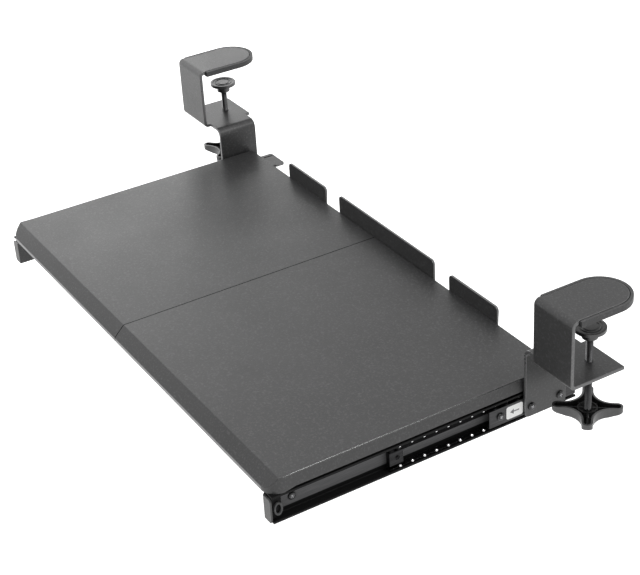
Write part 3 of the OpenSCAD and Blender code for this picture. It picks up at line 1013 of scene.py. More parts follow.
@dataclass
class Platform:
    """The sheet-steel platform in two halves and the two bars that join them.

    Attributes:
        width: width at the top crease.
        sheet: sheet thickness.
        skirt: height of the front edge.
        side_skirt: height of the side skirts behind the front corners.
        flare: how far the skirt leans out at its foot.
        bevel: height and depth of the sloping front.
        corner: rounding of the front corners.
        crease: rounding of the front creases.
        side_crease: rounding of the side creases.
        trim_run: length in which the side skirts rise behind the corners.
        stop: inner and outer X of an upright stop.
        stop_rise: height of the stop over the top.
        stop_round: rounding of its corners.
        tab: first and last X of the rear tab.
        tab_reach: how far the tab reaches back.
        tab_round: rounding of its corners.
        seam_gap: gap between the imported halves.
        seam_open: gap left between the finished halves.
        seam_edge: rounding of the edges at the seam.
        cut_edges: rounding of the cut edges.
        bar_edges: rounding of the front bar's edges.
        slack: how far the underside may lie off before it is levelled.
        notch: radius of the relief notch beside the tab.
        groove: first and last X of the tab's groove, from the tab's outer end.
        groove_depth: its depth.
        groove_ends: gaps from it to the rear edge and to the tab's end.
        bar_round: rounding of the front bar's corners.
        bar_bend: outer rounding of the rear bar's bend.
    """

    width: float = 501.0
    sheet: float = 2.0
    skirt: float = 13.4
    side_skirt: float = 11.4
    flare: float = 1.5
    bevel: float = 9.7
    corner: float = 13.0
    crease: float = 0.5
    side_crease: float = 1.0
    trim_run: float = 10.0
    stop: Pair = (103.0, 173.0)
    stop_rise: float = 16.0
    stop_round: float = 4.0
    tab: Pair = (-231.5, -204.0)
    tab_reach: float = 12.5
    tab_round: float = 2.5
    seam_gap: float = 0.4
    seam_open: float = 0.04
    seam_edge: float = 0.45
    cut_edges: Rounding = Rounding(0.3, 2, 50.0)
    bar_edges: Rounding = Rounding(0.4)
    slack: float = 0.35
    notch: float = 2.0
    groove: Pair = (4.0, 6.0)
    groove_depth: float = 0.6
    groove_ends: Pair = (1.0, 2.0)
    bar_round: float = 3.0
    bar_bend: float = 1.8

    def __post_init__(self) -> None:
        """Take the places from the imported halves."""
        low, high = node_box("tray_left_half")
        self.lip = low.y
        self.foot = low.z
        self.top = low.z + self.skirt
        self.front = low.y + self.bevel
        self.rear = high.y - self.tab_reach
        self.seam = high.x + self.seam_gap / 2

    def shell(self) -> Blank:
        """Shape the outside of both halves as one open shell.

        Returns:
            The shell, without thickness.
        """
        half = self.width / 2 + self.flare
        body = Blank.block("platform", (-half, self.lip, self.foot), (half, self.rear, self.top))
        body.coat(COAT, CREASE, EDGE, SHADE)
        body.pick(Pick.EDGES, lambda p: at(y=self.lip)(p) and not near(p[0].z, p[1].z))
        body.bevel(self.corner, 12)
        for side in Side:
            body.pick(Pick.VERTS, lambda p: near(p[0].z, self.top) and side.value * p[0].x > 0)
            body.move((-side.value * self.flare, 0, 0))
        body.cut((0, self.front, self.top), (0, -1, 1), drop=True)
        body.pick(Pick.FACES, lambda p: at(z=self.foot)(p) or at(y=self.rear)(p))
        bpy.ops.mesh.delete(type="FACE")
        self.trim_skirts(body)
        self.fold_stops(body)
        return body

    def trim_skirts(self, body: Blank) -> None:
        """Take the foot of the side skirts up behind the front corners.

        Args:
            body: the open shell.
        """
        rise = self.skirt - self.side_skirt
        start = self.lip + self.corner + self.trim_run
        inside = self.width / 2 - CLOSE
        body.pick(
            Pick.FACES, lambda p: all(abs(v.x) > inside and v.y > self.front - CLOSE for v in p)
        )
        body.cut((0, start, 0), (0, 1, 0), whole=False)
        body.pick(Pick.VERTS, lambda p: near(p[0].z, self.foot) and p[0].y > start - CLOSE)
        body.move((0, 0, rise))

    def fold_stops(self, body: Blank) -> None:
        """Fold the stops up from the rear edge and draw the tab out behind it.

        Args:
            body: the open shell.
        """
        stops = [sorted(side.value * x for x in self.stop) for side in Side]
        for x in (*stops[0], *stops[1], *self.tab):
            body.pick(Pick.FACES, at(z=self.top)).cut((x, 0, 0), (1, 0, 0), whole=False)
        for span in stops:
            body.pick(Pick.EDGES, lambda p: self.on_rear(p, span)).extrude((0, 0, self.stop_rise))
        body.pick(Pick.VERTS, at(z=self.top + self.stop_rise))
        body.bevel(self.stop_round, 6, corners=True)
        body.pick(Pick.EDGES, lambda p: self.on_rear(p, self.tab)).extrude((0, self.tab_reach, 0))
        body.pick(Pick.VERTS, at(y=self.rear + self.tab_reach))
        body.bevel(self.tab_round, 5, corners=True)

    def on_rear(self, points: list[Vector], span: Pair) -> bool:
        """Whether an edge lies on the rear edge of the top.

        Args:
            points: ends of the edge.
            span: lowest and highest X.

        Returns:
            True for an edge inside the span.
        """
        middle = (points[0].x + points[1].x) / 2
        return at(y=self.rear, z=self.top)(points) and span[0] < middle < span[1]

    def press_tab(self, body: Blank) -> None:
        """Cut the relief notch and the pressed groove of the rear tab.

        Args:
            body: the left half.
        """
        outer, inner = self.tab
        start, end = (outer + step for step in self.groove)
        root, tip = self.rear + self.groove_ends[0], self.rear + self.tab_reach - self.groove_ends[1]
        over = self.top + OVERCUT
        notch = Blank.rod(
            "notch", self.notch, self.top - self.sheet - OVERCUT, over, (inner, root), 24
        )
        groove = Blank.block(
            "groove", (start, root, self.top - self.groove_depth), (end, tip, over)
        )
        for tool in (notch, groove):
            body.combine(tool.coat(COAT), Join.SHEET_CUT)

    def on_slope(self, points: list[Vector]) -> bool:
        """Whether an edge bounds the sloping front."""
        return all(near(self.front - v.y, self.top - v.z) for v in points)

    def on_side(self, points: list[Vector]) -> bool:
        """Whether an edge runs along the top of a side."""
        return all(near(v.z, self.top) and near(abs(v.x), self.width / 2) for v in points)

    def build(self) -> None:
        """Model both halves and both joining bars."""
        # Cut edges of the sheet take the lighter edge finish, a painted highlight.
        body = self.shell().thicken(self.sheet, EDGE)
        under = self.top - self.sheet
        body.pick(Pick.VERTS, lambda p: -self.slack < p[0].z - under < CLOSE).level(under)
        body.pick(Pick.EDGES, self.on_side).bevel(self.side_crease, 4, paint=CREASE)
        body.pick(Pick.EDGES, self.on_slope).bevel(self.crease, 3)
        for side in Side:
            half = body.copy(f"platform_{side.name.lower()}")
            edge = self.seam + side.value * self.seam_open / 2
            half.cut((edge, 0, 0), (-side.value, 0, 0), drop=True)
            # The front lip takes the lighter edge finish, a painted highlight.
            half.assign(EDGE, at(y=self.lip))
            # The seam's fillets take the near-black finish, painted shade of the gap.
            half.pick(Pick.EDGES, at(x=edge)).bevel(self.seam_edge, 2, paint=SHADE)
            half.soften(self.cut_edges)
            if side is Side.LEFT:
                self.press_tab(half)
            half.finish(Body.TRAY.value, COAT, f"tray_{side.name.lower()}_half")
        bpy.data.objects.remove(body.obj)
        self.build_bars()

    def build_bars(self) -> None:
        """Model the flat front bar and the rear angle bar with the middle stop."""
        low, high = node_box("front_joining_bar")
        bar = Blank.plane("front_bar", low.xy, high.xy, high.z)
        bar.pick(Pick.VERTS, everything).bevel(self.bar_round, 5, corners=True)
        bar.thicken(self.sheet).soften(self.bar_edges)
        bar.finish(Body.TRAY.value, COAT, "front_joining_bar")
        low, high = node_box("rear_joining_bar")
        level, back = low.z + self.sheet, high.y - self.sheet
        # The rear bar's cut edges take the lighter edge finish, a painted highlight.
        angle = Blank.plane("rear_bar", low.xy, (high.x, back), level).coat(COAT, EDGE)
        angle.pick(Pick.EDGES, at(y=back)).extrude((0, 0, high.z - level))
        angle.pick(Pick.VERTS, at(z=high.z)).bevel(self.stop_round, 6, corners=True)
        angle.thicken(self.sheet, EDGE)
        angle.pick(Pick.EDGES, at(y=high.y, z=low.z)).bevel(self.bar_bend, 4)
        angle.soften(self.cut_edges)
        angle.finish(Body.TRAY.value, COAT, "rear_joining_bar")


@dataclass
class Fasteners:
    """Pan head screws with a cross recess, modelled once and copied to every place.

    Attributes:
        head: head diameter.
        rise: head height.
        shank: shank diameter.
        reach: shank length.
        crown: rounding of the head.
        edges: rounding of the other edges.
        recess: half length, half width and depth of the cross recess.
        taper: share of its length and width that is left at its floor.
        mouth: height over the head at which it would have its full size.
        turns: turn of the first recess and step to the next, in degrees.
        bar_steps: places of the joining screws from the first one.
        web_middle: Y of the rail's middle screw.
        plate_ys: Y of the screws through the side plate.
        sunk: how far the carriage's own screw lies behind those.
    """

    head: float = 7.0
    rise: float = 1.8
    shank: float = 4.0
    reach: float = 2.4
    crown: float = 1.25
    edges: Rounding = Rounding(0.06, 1, 35.0)
    recess: Point = (1.95, 0.55, 1.0)
    taper: Pair = (0.55, 0.75)
    mouth: float = 1.0
    turns: Pair = (23.0, 37.0)
    bar_steps: tuple[float, ...] = (0.0, 32.0, 76.0, 108.0)
    web_middle: float = -8.1
    plate_ys: Pair = (10.0, 39.0)
    sunk: float = 3.0

    def screw(self) -> Blank:
        """Model one screw with its seat at the origin and its head up.

        Returns:
            The master screw.
        """
        screw = Blank.rod("pan_screw", self.head / 2, 0, self.rise, sides=32).coat(SCREW, RECESS)
        screw.pick(Pick.EDGES, at(z=self.rise)).bevel(self.crown, 5)
        screw.pick(Pick.FACES, at(z=0))
        screw.inset((self.head - self.shank) / 2).extrude((0, 0, -self.reach), edges=False)
        length, width, depth = self.recess
        for turn in (0.0, 90.0):
            wing = Blank.block(
                "wing", (-length, -width, self.rise - depth), (length, width, self.rise + self.mouth)
            )
            wing.pick(Pick.VERTS, lambda p: p[0].z < self.rise).scale((*self.taper, 1))
            wing.only()
            wing.obj.rotation_euler = (0, 0, math.radians(turn))
            screw.combine(wing.settle(), Join.CUT)
        # The recess faces take the light grey finish, a painted glint.
        return screw.assign(RECESS, self.in_recess).soften(self.edges)

    def in_recess(self, points: list[Vector]) -> bool:
        """Whether a face belongs to the cross recess.

        Args:
            points: corners of the face.

        Returns:
            True for the walls and the floor of the recess.
        """
        middle = sum(points, Vector()) / len(points)
        floor = self.rise - self.recess[2]
        return middle.xy.length < self.shank / 2 and floor - CLOSE < middle.z < self.rise - CLOSE

    def drive(
        self, screw: Blank, name: str, body: str, node: str, spots: list[Point], axis: Point
    ) -> None:
        """Copy the screw to its places and join the copies as one piece.

        Args:
            screw: the master screw.
            name: name of the piece.
            body: body that it rides on.
            node: CAD node that it stands for.
            spots: where the seats are.
            axis: the way the heads point.
        """
        aim = Vector(axis).to_track_quat("Z", "Y").to_matrix()
        copies = []
        for index, spot in enumerate(spots):
            spin = Matrix.Rotation(math.radians(self.turns[0] + self.turns[1] * index), 3, "Z")
            copies.append(screw.copy(f"{name}_{index}").lay(aim @ spin, Vector(spot)))
        first = copies[0].joined(copies[1:])
        first.obj.name = name
        first.finish(body, SCREW, node)

    def build(self) -> None:
        """Drive every small screw of the tray and the slides."""
        screw = self.screw()
        low, high = node_box("joining_screws")
        seat = low.z + self.rise
        rows = (low.y + self.head / 2, high.y - self.head / 2)
        columns = [low.x + self.head / 2 + step for step in self.bar_steps]
        self.drive(
            screw, "bar_screws", Body.TRAY.value, "joining_screws",
            [(x, y, seat) for x in columns for y in rows], (0, 0, -1),
        )
        for side in Side:
            self.build_side(screw, side)
        bpy.data.objects.remove(screw.obj)

    def build_side(self, screw: Blank, side: Side) -> None:
        """Drive the screws of one side.

        Args:
            screw: the master screw.
            side: which side.
        """
        out = side.value
        low, high = node_box(side.named("tray_bracket_screws"))
        x = (low.x + high.x) / 2
        ys = self.row(low.y + self.head / 2, high.y - self.head / 2, 4)
        self.drive(
            screw, side.named("flange_screws"), Body.TRAY.value, side.named("tray_bracket_screws"),
            [(x, y, low.z + self.rise) for y in ys], (0, 0, -1),
        )
        low, high = node_box(side.named("rail_screws"))
        face = (high.x if out > 0 else low.x) - out * self.rise
        z = (low.z + high.z) / 2
        self.drive(
            screw, side.named("web_screws"), Body.TRAY.value, side.named("rail_screws"),
            [(face, y, z) for y in (low.y + self.head / 2, self.web_middle, high.y - self.head / 2)],
            (out, 0, 0),
        )
        low, high = node_box(side.named("carriage_screws"))
        face = (high.x if out > 0 else low.x) - out * self.rise
        spots = [(face - out * self.sunk, low.y + self.head / 2, z)]
        spots += [(face, y, z) for y in self.plate_ys]
        self.drive(
            screw, side.named("slide_screws"), Body.BRACKETS.value, side.named("carriage_screws"),
            spots, (out, 0, 0),
        )

    @staticmethod
    def row(start: float, end: float, count: int) -> list[float]:
        """Evenly spaced places from start to end."""
        return [start + (end - start) * index / (count - 1) for index in range(count)]


@dataclass
class BallSlide:
    """A ball-bearing slide with its bracket, cage, balls, bumper and label.

    Attributes:
        side: which side it is on.
        mark: length and height of the arrow on the label.
        ring: half width and half height of the bumper's ring.
        ring_rise: height of the ring on the bumper.
        ring_wall: wall of the ring.
        tab_trim: how much the bracket's front tab is cut back at its side and its top.
        tab_strip: width of the strip at its side that moves with the cut.
        tab_round: rounding of its upper corner.
        tab_top: Z of its top before it is cut back.
        tab_depth: its thickness.
        wall: thickness of the cage's inner wall.
        wall_foot: Z of its foot.
        wall_gaps: gaps from it to the cage's ends and top.
        bumper_round: rounding of the bumper block.
        ring_shift: shift of the ring from the block's middle in Y and Z.
        shaft: width of the arrow's shaft.
        neck: where the arrow's head begins.
        step: length of the shoulder there.
        tip: share of the head's width left at the arrow's tip.
        ink: thickness of the arrow.
        block_edges: rounding of the bumper block's edges.
        ring_edges: rounding of the ring's edges.
        cage_edges: rounding of the cage's edges.
        film_edges: rounding of the label's edges.
    """

    side: Side
    mark: Pair = (9.0, 5.0)
    ring: Pair = (3.9, 6.0)
    ring_rise: float = 2.2
    ring_wall: float = 1.7
    tab_trim: Pair = (1.2, 3.0)
    tab_strip: float = 4.0
    tab_round: float = 2.0
    tab_top: float = -97.5
    tab_depth: float = 1.5
    wall: float = 0.6
    wall_foot: float = -107.8
    wall_gaps: Pair = (0.5, 0.3)
    bumper_round: float = 3.0
    ring_shift: Pair = (1.0, -1.5)
    shaft: float = 1.1
    neck: float = 1.0
    step: float = 0.02
    tip: float = 0.04
    ink: float = 0.05
    block_edges: Rounding = Rounding(0.4)
    ring_edges: Rounding = Rounding(0.6, 3)
    cage_edges: Rounding = Rounding(0.12, 1, 35.0)
    film_edges: Rounding = Rounding(0.05, 1, 35.0)

    def build(self) -> None:
        """Model every piece of the slide."""
        self.build_steel()
        self.build_bumper()
        self.build_cage()
        self.build_label()

    def build_steel(self) -> None:
        """Round the edges of the bent steel pieces."""
        for name, node, body, paint, width in (
            ("bent_bracket", "tray_bracket", Body.TRAY, COAT, 0.3),
            ("rail_channel", "outer_rail", Body.TRAY, RAIL, 0.22),
            ("carriage_channel", "carriage", Body.BRACKETS, CARRIAGE, 0.25),
        ):
            piece = Blank.from_node(self.side.named(name), self.side.named(node))
            if node == "tray_bracket":
                self.trim_tab(piece)
            piece.soften(Rounding(width, angle=35.0))
            piece.finish(body.on(self.side), paint, self.side.named(node))

    def trim_tab(self, bracket: Blank) -> None:
        """Cut back the bracket's front tab and round its upper corner.

        Args:
            bracket: the bent bracket.
        """
        low, high = node_box(self.side.named("tray_bracket"))
        edge = max(abs(low.x), abs(high.x)) - self.tab_trim[0]
        back = low.y + self.tab_depth + CLOSE
        bracket.pick(Pick.VERTS, lambda p: p[0].y < back and abs(p[0].x) > edge - self.tab_strip)
        bracket.move((-self.side.value * self.tab_trim[0], 0, 0))
        bracket.pick(Pick.VERTS, lambda p: p[0].y < back and near(p[0].z, self.tab_top))
        bracket.move((0, 0, -self.tab_trim[1]))
        crown = self.tab_top - self.tab_trim[1]
        bracket.pick(Pick.EDGES, lambda p: all(near(v.z, crown) and near(abs(v.x), edge) for v in p))
        bracket.bevel(self.tab_round, 5)

    def build_bumper(self) -> None:
        """Mould the block in the rail's front end and the oval ring on it."""
        out = self.side.value
        low, high = node_box(self.side.named("front_bumper"))
        face, root = (high.x, low.x) if out > 0 else (low.x, high.x)
        deck = face - out * self.ring_rise
        ends = sorted((root, deck))
        block = Blank.block(
            self.side.named("rail_bumper"), (ends[0], low.y, low.z), (ends[1], high.y, high.z)
        )
        block.pick(Pick.EDGES, lambda p: near(p[0].y, p[1].y) and near(p[0].z, p[1].z))
        block.bevel(self.bumper_round, 5).soften(self.block_edges)
        block.finish(Body.TRAY.value, BUMPER, self.side.named("front_bumper"))
        wide, tall = self.ring
        ring = Blank.rod(self.side.named("bumper_ring"), wide, 0, self.ring_rise, sides=40)
        under, over = -OVERCUT / 2, self.ring_rise + OVERCUT / 2
        hole = Blank.rod("hole", wide - self.ring_wall, under, over, sides=40)
        for blank, wall in ((ring, 0.0), (hole, self.ring_wall)):
            blank.pick(Pick.VERTS, everything).scale((1, (tall - wall) / (wide - wall), 1))
        ring.combine(hole, Join.CUT).soften(self.ring_edges)
        middle = (low + high) / 2
        turn = Matrix(((0, 0, out), (out, 0, 0), (0, 1, 0)))
        place = Vector((deck, middle.y + self.ring_shift[0], middle.z + self.ring_shift[1]))
        ring.lay(turn, place).tidy()
        ring.finish(Body.TRAY.value, RUBBER)

    def build_cage(self) -> None:
        """Round the cage, weld its inner wall on and smooth the balls in it."""
        low, high = node_box(self.side.named("ball_cage"))
        cage = Blank.from_node(self.side.named("cage_strip"), self.side.named("ball_cage"))
        root = low.x if self.side is Side.RIGHT else high.x
        ends = sorted((root, root + self.side.value * self.wall))
        inset, drop = self.wall_gaps
        wall = Blank.block(
            "wall",
            (ends[0], low.y + inset, self.wall_foot),
            (ends[1], high.y - inset, high.z - drop),
        )
        cage.coat(CAGE, CAGE_WALL_SHADE).soften(self.cage_edges).combine(wall, Join.WELD)
        # The cage's inner wall takes the near-black finish, painted shade.
        cage.assign(
            CAGE_WALL_SHADE,
            lambda p: all(
                ends[0] - CLOSE < v.x < ends[1] + CLOSE and v.z > self.wall_foot - CLOSE for v in p
            ),
        )
        cage.finish(Body.CAGE.on(self.side), CAGE, self.side.named("ball_cage"))
        balls = Blank.from_node(self.side.named("steel_balls"), self.side.named("balls"))
        balls.finish(Body.CAGE.on(self.side), BRIGHT, self.side.named("balls"), smooth=60.0)

    def build_label(self) -> None:
        """Round the label film and print a plain arrow on it."""
        out = self.side.value
        film = Blank.from_node(self.side.named("label_film"), self.side.named("side_label"))
        film.soften(self.film_edges)
        film.finish(Body.BRACKETS.value, FILM, self.side.named("side_label"))
        low, high = node_box(self.side.named("side_label"))
        length, height = self.mark
        middle = (low + high) / 2
        half, end = self.shaft / 2, length / 2
        arrow = Blank.plane(self.side.named("label_arrow"), (-end, -half), (self.neck, half), 0)
        arrow.pick(Pick.EDGES, at(x=self.neck)).extrude((self.step, 0, 0))
        arrow.scale((1, height / self.shaft, 1))
        shoulder = self.neck + self.step
        arrow.pick(Pick.EDGES, at(x=shoulder)).extrude((end - shoulder, 0, 0))
        arrow.scale((1, self.tip, 1))
        arrow.pick(Pick.FACES, everything).extrude((0, 0, self.ink), edges=False)
        face = high.x if out > 0 else low.x
        turn = Matrix(((0, 0, out), (-1, 0, 0), (0, -out, 0)))
        arrow.lay(turn, Vector((face, middle.y, middle.z))).tidy()
        arrow.finish(Body.BRACKETS.value, INK)


@dataclass
class DeskClamp:
    """The bent clamp bracket with its pad, nut, screw, foot and knob.

    Attributes:
        plate: plate thickness.
        top_reach: Y of the top plate's rear end.
        lower_reach: how far the lower plate reaches.
        bend: outer radius of the bends.
        side_bend: inner radius of the bend to the side plate.
        side: first and last Y of the side plate.
        side_round: rounding of the side plate's corners.
        pad: pad thickness under the plate.
        rim: width of the pad's rim.
        slim: how much narrower the top plate is inside the rim.
        knob_turn: turn of the knob's arms in degrees.
        boss: outer and inner radius of the knob's boss.
        arm: length of an arm to the middle of its round end.
        thread: outer radius of the clamp screw.
        pitch: pitch of its thread.
        groove: depth of its thread.
        overhang: how far the pad reaches past the clamp's side.
        disc: thickness of the pressure foot's disc.
        hub: radius of its hub.
        socket: depth of the screw's socket in it.
        rings: width and sink of each ring on its face.
        ribs: turn, half length and gaps to foot and crown of the knob's ribs.
        rib: half width of a rib.
        boss_gaps: gaps from the boss to the knob's foot and crown.
        boss_sink: draft and depth of the hollow in the boss.
        bore_floor: gap from the knob's bore to its foot.
        hollow: gaps from the hollow to foot and crown, and least upward look of its floor.
        gaps: play of the screw in nut, foot and plate.
        weld: gap within which the points of a rounded end are merged.
        pad_run: how much longer the pad is moulded before its front is cut.
        draft: draft of the pad's rim and of the foot's rings.
        chamfer: rounding of the nut's lower edge.
        plate_edges: rounding of the plate's edges.
        pad_edges: rounding of the pad's edges.
        nut_edges: rounding of the nut's edges.
        foot_edges: rounding of the foot's edges.
        knob_edges: rounding of the knob's edges.
    """

    plate: float = 3.0
    top_reach: float = 66.5
    lower_reach: float = 50.0
    bend: float = 5.0
    side_bend: float = 5.0
    side: Pair = (4.0, 45.0)
    side_round: float = 4.0
    pad: float = 2.5
    rim: float = 2.6
    slim: float = 1.5
    knob_turn: float = 50.0
    boss: Pair = (8.2, 7.0)
    arm: float = 23.0
    thread: float = 3.0
    pitch: float = 1.0
    groove: float = 0.5
    overhang: float = 1.75
    disc: float = 3.0
    hub: float = 6.5
    socket: float = 5.2
    rings: tuple[Pair, ...] = ((1.6, 0.0), (0.9, 0.5), (1.6, -0.5), (0.9, 0.5), (1.6, -0.5))
    ribs: tuple[tuple[float, ...], ...] = (
        (0.0, 24.5, 3.2, 1.8),
        (90.0, 24.5, 3.2, 1.8),
        (45.0, 11.8, 1.0, 2.6),
        (135.0, 11.8, 1.0, 2.6),
    )
    rib: float = 0.5
    boss_gaps: Pair = (1.0, 1.8)
    boss_sink: Pair = (0.3, 2.0)
    bore_floor: float = 1.5
    hollow: Point = (0.5, 0.35, 0.7)
    gaps: Point = (0.05, 0.1, 0.4)
    weld: float = 0.1
    pad_run: float = 4.0
    draft: Pair = (0.05, 0.12)
    chamfer: float = 0.5
    plate_edges: Rounding = Rounding(0.5, 3)
    pad_edges: Rounding = Rounding(0.2)
    nut_edges: Rounding = Rounding(0.15)
    foot_edges: Rounding = Rounding(0.25)
    knob_edges: Rounding = Rounding(0.3, angle=35.0)

    def __post_init__(self) -> None:
        """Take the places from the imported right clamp."""
        low, high = node_box("right_clamp_bracket")
        self.face = low.x + self.plate
        self.side_foot = low.z
        self.front = low.y
        self.top = high.z
        self.outer = high.x
        pad_low, _ = node_box("right_top_pad")
        self.inner = pad_low.x + self.overhang
        self.pad_front = pad_low.y
        nut_low, nut_high = node_box("right_clamp_nut")
        self.under = nut_high.z
        self.axis = ((nut_low.x + nut_high.x) / 2, (nut_low.y + nut_high.y) / 2)

    def both(self, piece: Blank, name: str, body: Body, paint: Finish, node: str) -> None:
        """Finish a right-hand piece and its mirrored twin.

        Args:
            piece: the right-hand blank.
            name: name without the side.
            body: body that it rides on.
            paint: its finish.
            node: CAD node without the side.
        """
        twin = piece.mirrored(Side.LEFT.named(name))
        for blank, side in ((piece, Side.RIGHT), (twin, Side.LEFT)):
            blank.obj.name = side.named(name)
            blank.finish(body.on(side), paint, side.named(node))

    def build(self) -> None:
        """Model every piece of both clamps."""
        self.both(self.bracket(), "bent_clamp", Body.BRACKETS, COAT, "clamp_bracket")
        self.both(self.top_pad(), "rimmed_pad", Body.BRACKETS, RUBBER, "top_pad")
        self.both(self.nut(), "hex_nut", Body.BRACKETS, COAT, "clamp_nut")
        self.both(self.foot(), "ribbed_foot", Body.FOOT, PLASTIC, "pressure_foot")
        for side in Side:
            screw = self.screw(side)
            screw.finish(Body.SCREW.on(side), THREAD, side.named("clamp_screw"), smooth=50.0)
            self.knob(side).finish(Body.SCREW.on(side), PLASTIC, side.named("star_knob"))

    def bracket(self) -> Blank:
        """Bend the clamp from one sheet.

        Returns:
            The right-hand bracket.
        """
        sheet = Blank.plane(
            "bent_clamp", (self.inner, self.front), (self.outer, self.lower_reach), self.under
        )
        sheet.coat(COAT, EDGE).enter()
        bpy.ops.mesh.flip_normals()
        for y in self.side:
            sheet.cut((0, y, 0), (0, 1, 0))
        sheet.pick(Pick.EDGES, at(y=self.front)).extrude((0, 0, self.top - self.under))
        sheet.pick(Pick.EDGES, at(z=self.top)).extrude((0, self.top_reach - self.front, 0))
        for y in (self.pad_front - self.slim, self.pad_front):
            sheet.pick(Pick.FACES, at(z=self.top)).cut((0, y, 0), (0, 1, 0), whole=False)
        width = self.outer - self.inner
        sheet.pick(Pick.VERTS, lambda p: p[0].y > self.pad_front - CLOSE and near(p[0].z, self.top))
        sheet.scale((1 - 2 * self.slim / width, 1, 1))
        sheet.pick(Pick.VERTS, at(y=self.top_reach)).move((0, -self.slim, 0))
        sheet.bevel(width / 2 - self.slim - CLOSE, 20, corners=True).merge(self.weld)
        sheet.pick(
            Pick.EDGES,
            lambda p: at(x=self.inner, z=self.under)(p)
            and all(self.side[0] - CLOSE < v.y < self.side[1] + CLOSE for v in p),
        )
        sheet.extrude((self.face - self.inner, 0, 0))
        sheet.extrude((0, 0, self.side_foot - self.under))
        sheet.pick(Pick.VERTS, at(z=self.side_foot)).bevel(self.side_round, 6, corners=True)
        sheet.pick(
            Pick.EDGES,
            lambda p: at(y=self.front, z=self.top)(p) or at(y=self.front, z=self.under)(p),
        )
        sheet.bevel(self.bend, 8)
        sheet.pick(Pick.EDGES, at(x=self.face, z=self.under)).bevel(self.side_bend, 8)
        # Cut edges and rounded edges of the clamp take the lighter edge finish, a painted highlight.
        sheet.thicken(self.plate, EDGE)
        foot, crown = self.under - OVERCUT, self.under + self.plate + OVERCUT
        hole = Blank.rod("hole", self.thread + self.gaps[2], foot, crown, self.axis)
        return sheet.combine(hole, Join.CUT).soften(self.plate_edges, EDGE)

    def top_pad(self) -> Blank:
        """Mould the soft pad with a rim round the plate.

        Returns:
            The right-hand pad.
        """
        low, high = node_box("right_top_pad")
        pad = Blank.plane("rimmed_pad", (low.x, low.y - self.pad_run), (high.x, high.y), low.z)
        pad.pick(Pick.VERTS, at(y=high.y))
        pad.bevel((high.x - low.x) / 2 - CLOSE, 24, corners=True).merge(self.weld)
        pad.pick(Pick.FACES, everything).extrude((0, 0, high.z - low.z), edges=False)
        pad.tidy()
        pad.pick(Pick.FACES, at(z=high.z))
        pad.inset(self.rim).inset(self.draft[0], high.z - low.z - self.pad)
        pad.cut((0, low.y, 0), (0, -1, 0), drop=True)
        return pad.tidy().soften(self.pad_edges)

    def nut(self) -> Blank:
        """Forge the welded nut.

        Returns:
            The right-hand nut.
        """
        low, high = node_box("right_clamp_nut")
        nut = Blank.rod("hex_nut", (high.y - low.y) / 2, low.z, high.z, self.axis, 6)
        nut.pick(Pick.EDGES, at(z=low.z)).bevel(self.chamfer, 3)
        foot, crown = low.z - OVERCUT, high.z + OVERCUT
        bore = Blank.rod("bore", self.thread + self.gaps[0], foot, crown, self.axis)
        return nut.combine(bore, Join.CUT).soften(self.nut_edges)

    def foot(self) -> Blank:
        """Mould the pressure foot with rings on its face and a hub below.

        Returns:
            The right-hand foot.
        """
        low, high = node_box("right_pressure_foot")
        radius, under = (high.x - low.x) / 2, high.z - self.disc
        foot = Blank.rod("ribbed_foot", radius, under, high.z, self.axis, 64)
        foot.pick(Pick.FACES, at(z=high.z))
        for width, sink in self.rings:
            foot.inset(width)
            if sink:
                foot.inset(self.draft[1], sink)
        foot.pick(Pick.FACES, at(z=under))
        foot.inset(radius - self.hub).extrude((0, 0, low.z - under), edges=False)
        foot.inset(self.hub - self.thread - self.gaps[1])
        foot.extrude((0, 0, self.socket), edges=False)
        return foot.soften(self.foot_edges)

    def knob(self, side: Side) -> Blank:
        """Mould the star knob with its ribs and the ring of its boss.

        Args:
            side: which side.

        Returns:
            The knob.
        """
        low, high = node_box(side.named("star_knob"))
        centre = (side.value * self.axis[0], self.axis[1])
        knob = Blank.from_node(side.named("four_arm_knob"), side.named("star_knob"))
        knob.coat(PLASTIC, HOLLOW).soften(self.knob_edges)
        for turn, reach, foot, drop in self.ribs:
            rib = Blank.block(
                "rib", (-reach, -self.rib, low.z + foot), (reach, self.rib, high.z - drop)
            )
            rib.obj.rotation_euler = (0, 0, math.radians(side.value * self.knob_turn + turn))
            rib.obj.location = (*centre, 0)
            knob.combine(rib.settle(), Join.WELD)
        outer, inner = self.boss
        root, crown = low.z + self.boss_gaps[0], high.z - self.boss_gaps[1]
        boss = Blank.rod("boss", outer, root, crown, centre)
        boss.pick(Pick.FACES, at(z=crown)).inset(outer - inner).inset(*self.boss_sink)
        bore = Blank.rod("bore", self.thread, low.z + self.bore_floor, high.z + OVERCUT, centre)
        knob.combine(boss, Join.WELD).combine(bore, Join.CUT)
        # The hollow's floor and inner walls take the dark finish, painted shade.
        return knob.assign(HOLLOW, lambda p: self.in_hollow(p, side, low.z, high.z))

    def in_hollow(self, points: list[Vector], side: Side, foot: float, crown: float) -> bool:
        """Whether a face of the knob lies in the hollow between its walls.

        Args:
            points: corners of the face.
            side: which side the knob is on.
            foot: Z of the knob's foot.
            crown: Z of its rim.

        Returns:
            True for the floor of the hollow and for walls that look towards the arm they are on.
        """
        middle = sum(points, Vector()) / len(points)
        above, below, steep = self.hollow
        if middle.z < foot + above or middle.z > crown - below:
            return False
        looks = geometry.normal(points)
        if looks.z > steep:
            return True
        place = middle.xy - Vector((side.value * self.axis[0], self.axis[1]))
        arms = [Vector((self.arm, 0))]
        arms[0].rotate(Matrix.Rotation(math.radians(side.value * self.knob_turn), 2))
        arms.append(arms[0].orthogonal())
        spots = [geometry.intersect_point_line(place, -arm, arm) for arm in arms]
        ends = [(-arm).lerp(arm, min(max(share, 0.0), 1.0)) for (_, share), arm in zip(spots, arms)]
        nearest = min(ends, key=lambda spot: (place - spot).length)
        return looks.xy.dot(place - nearest) < 0

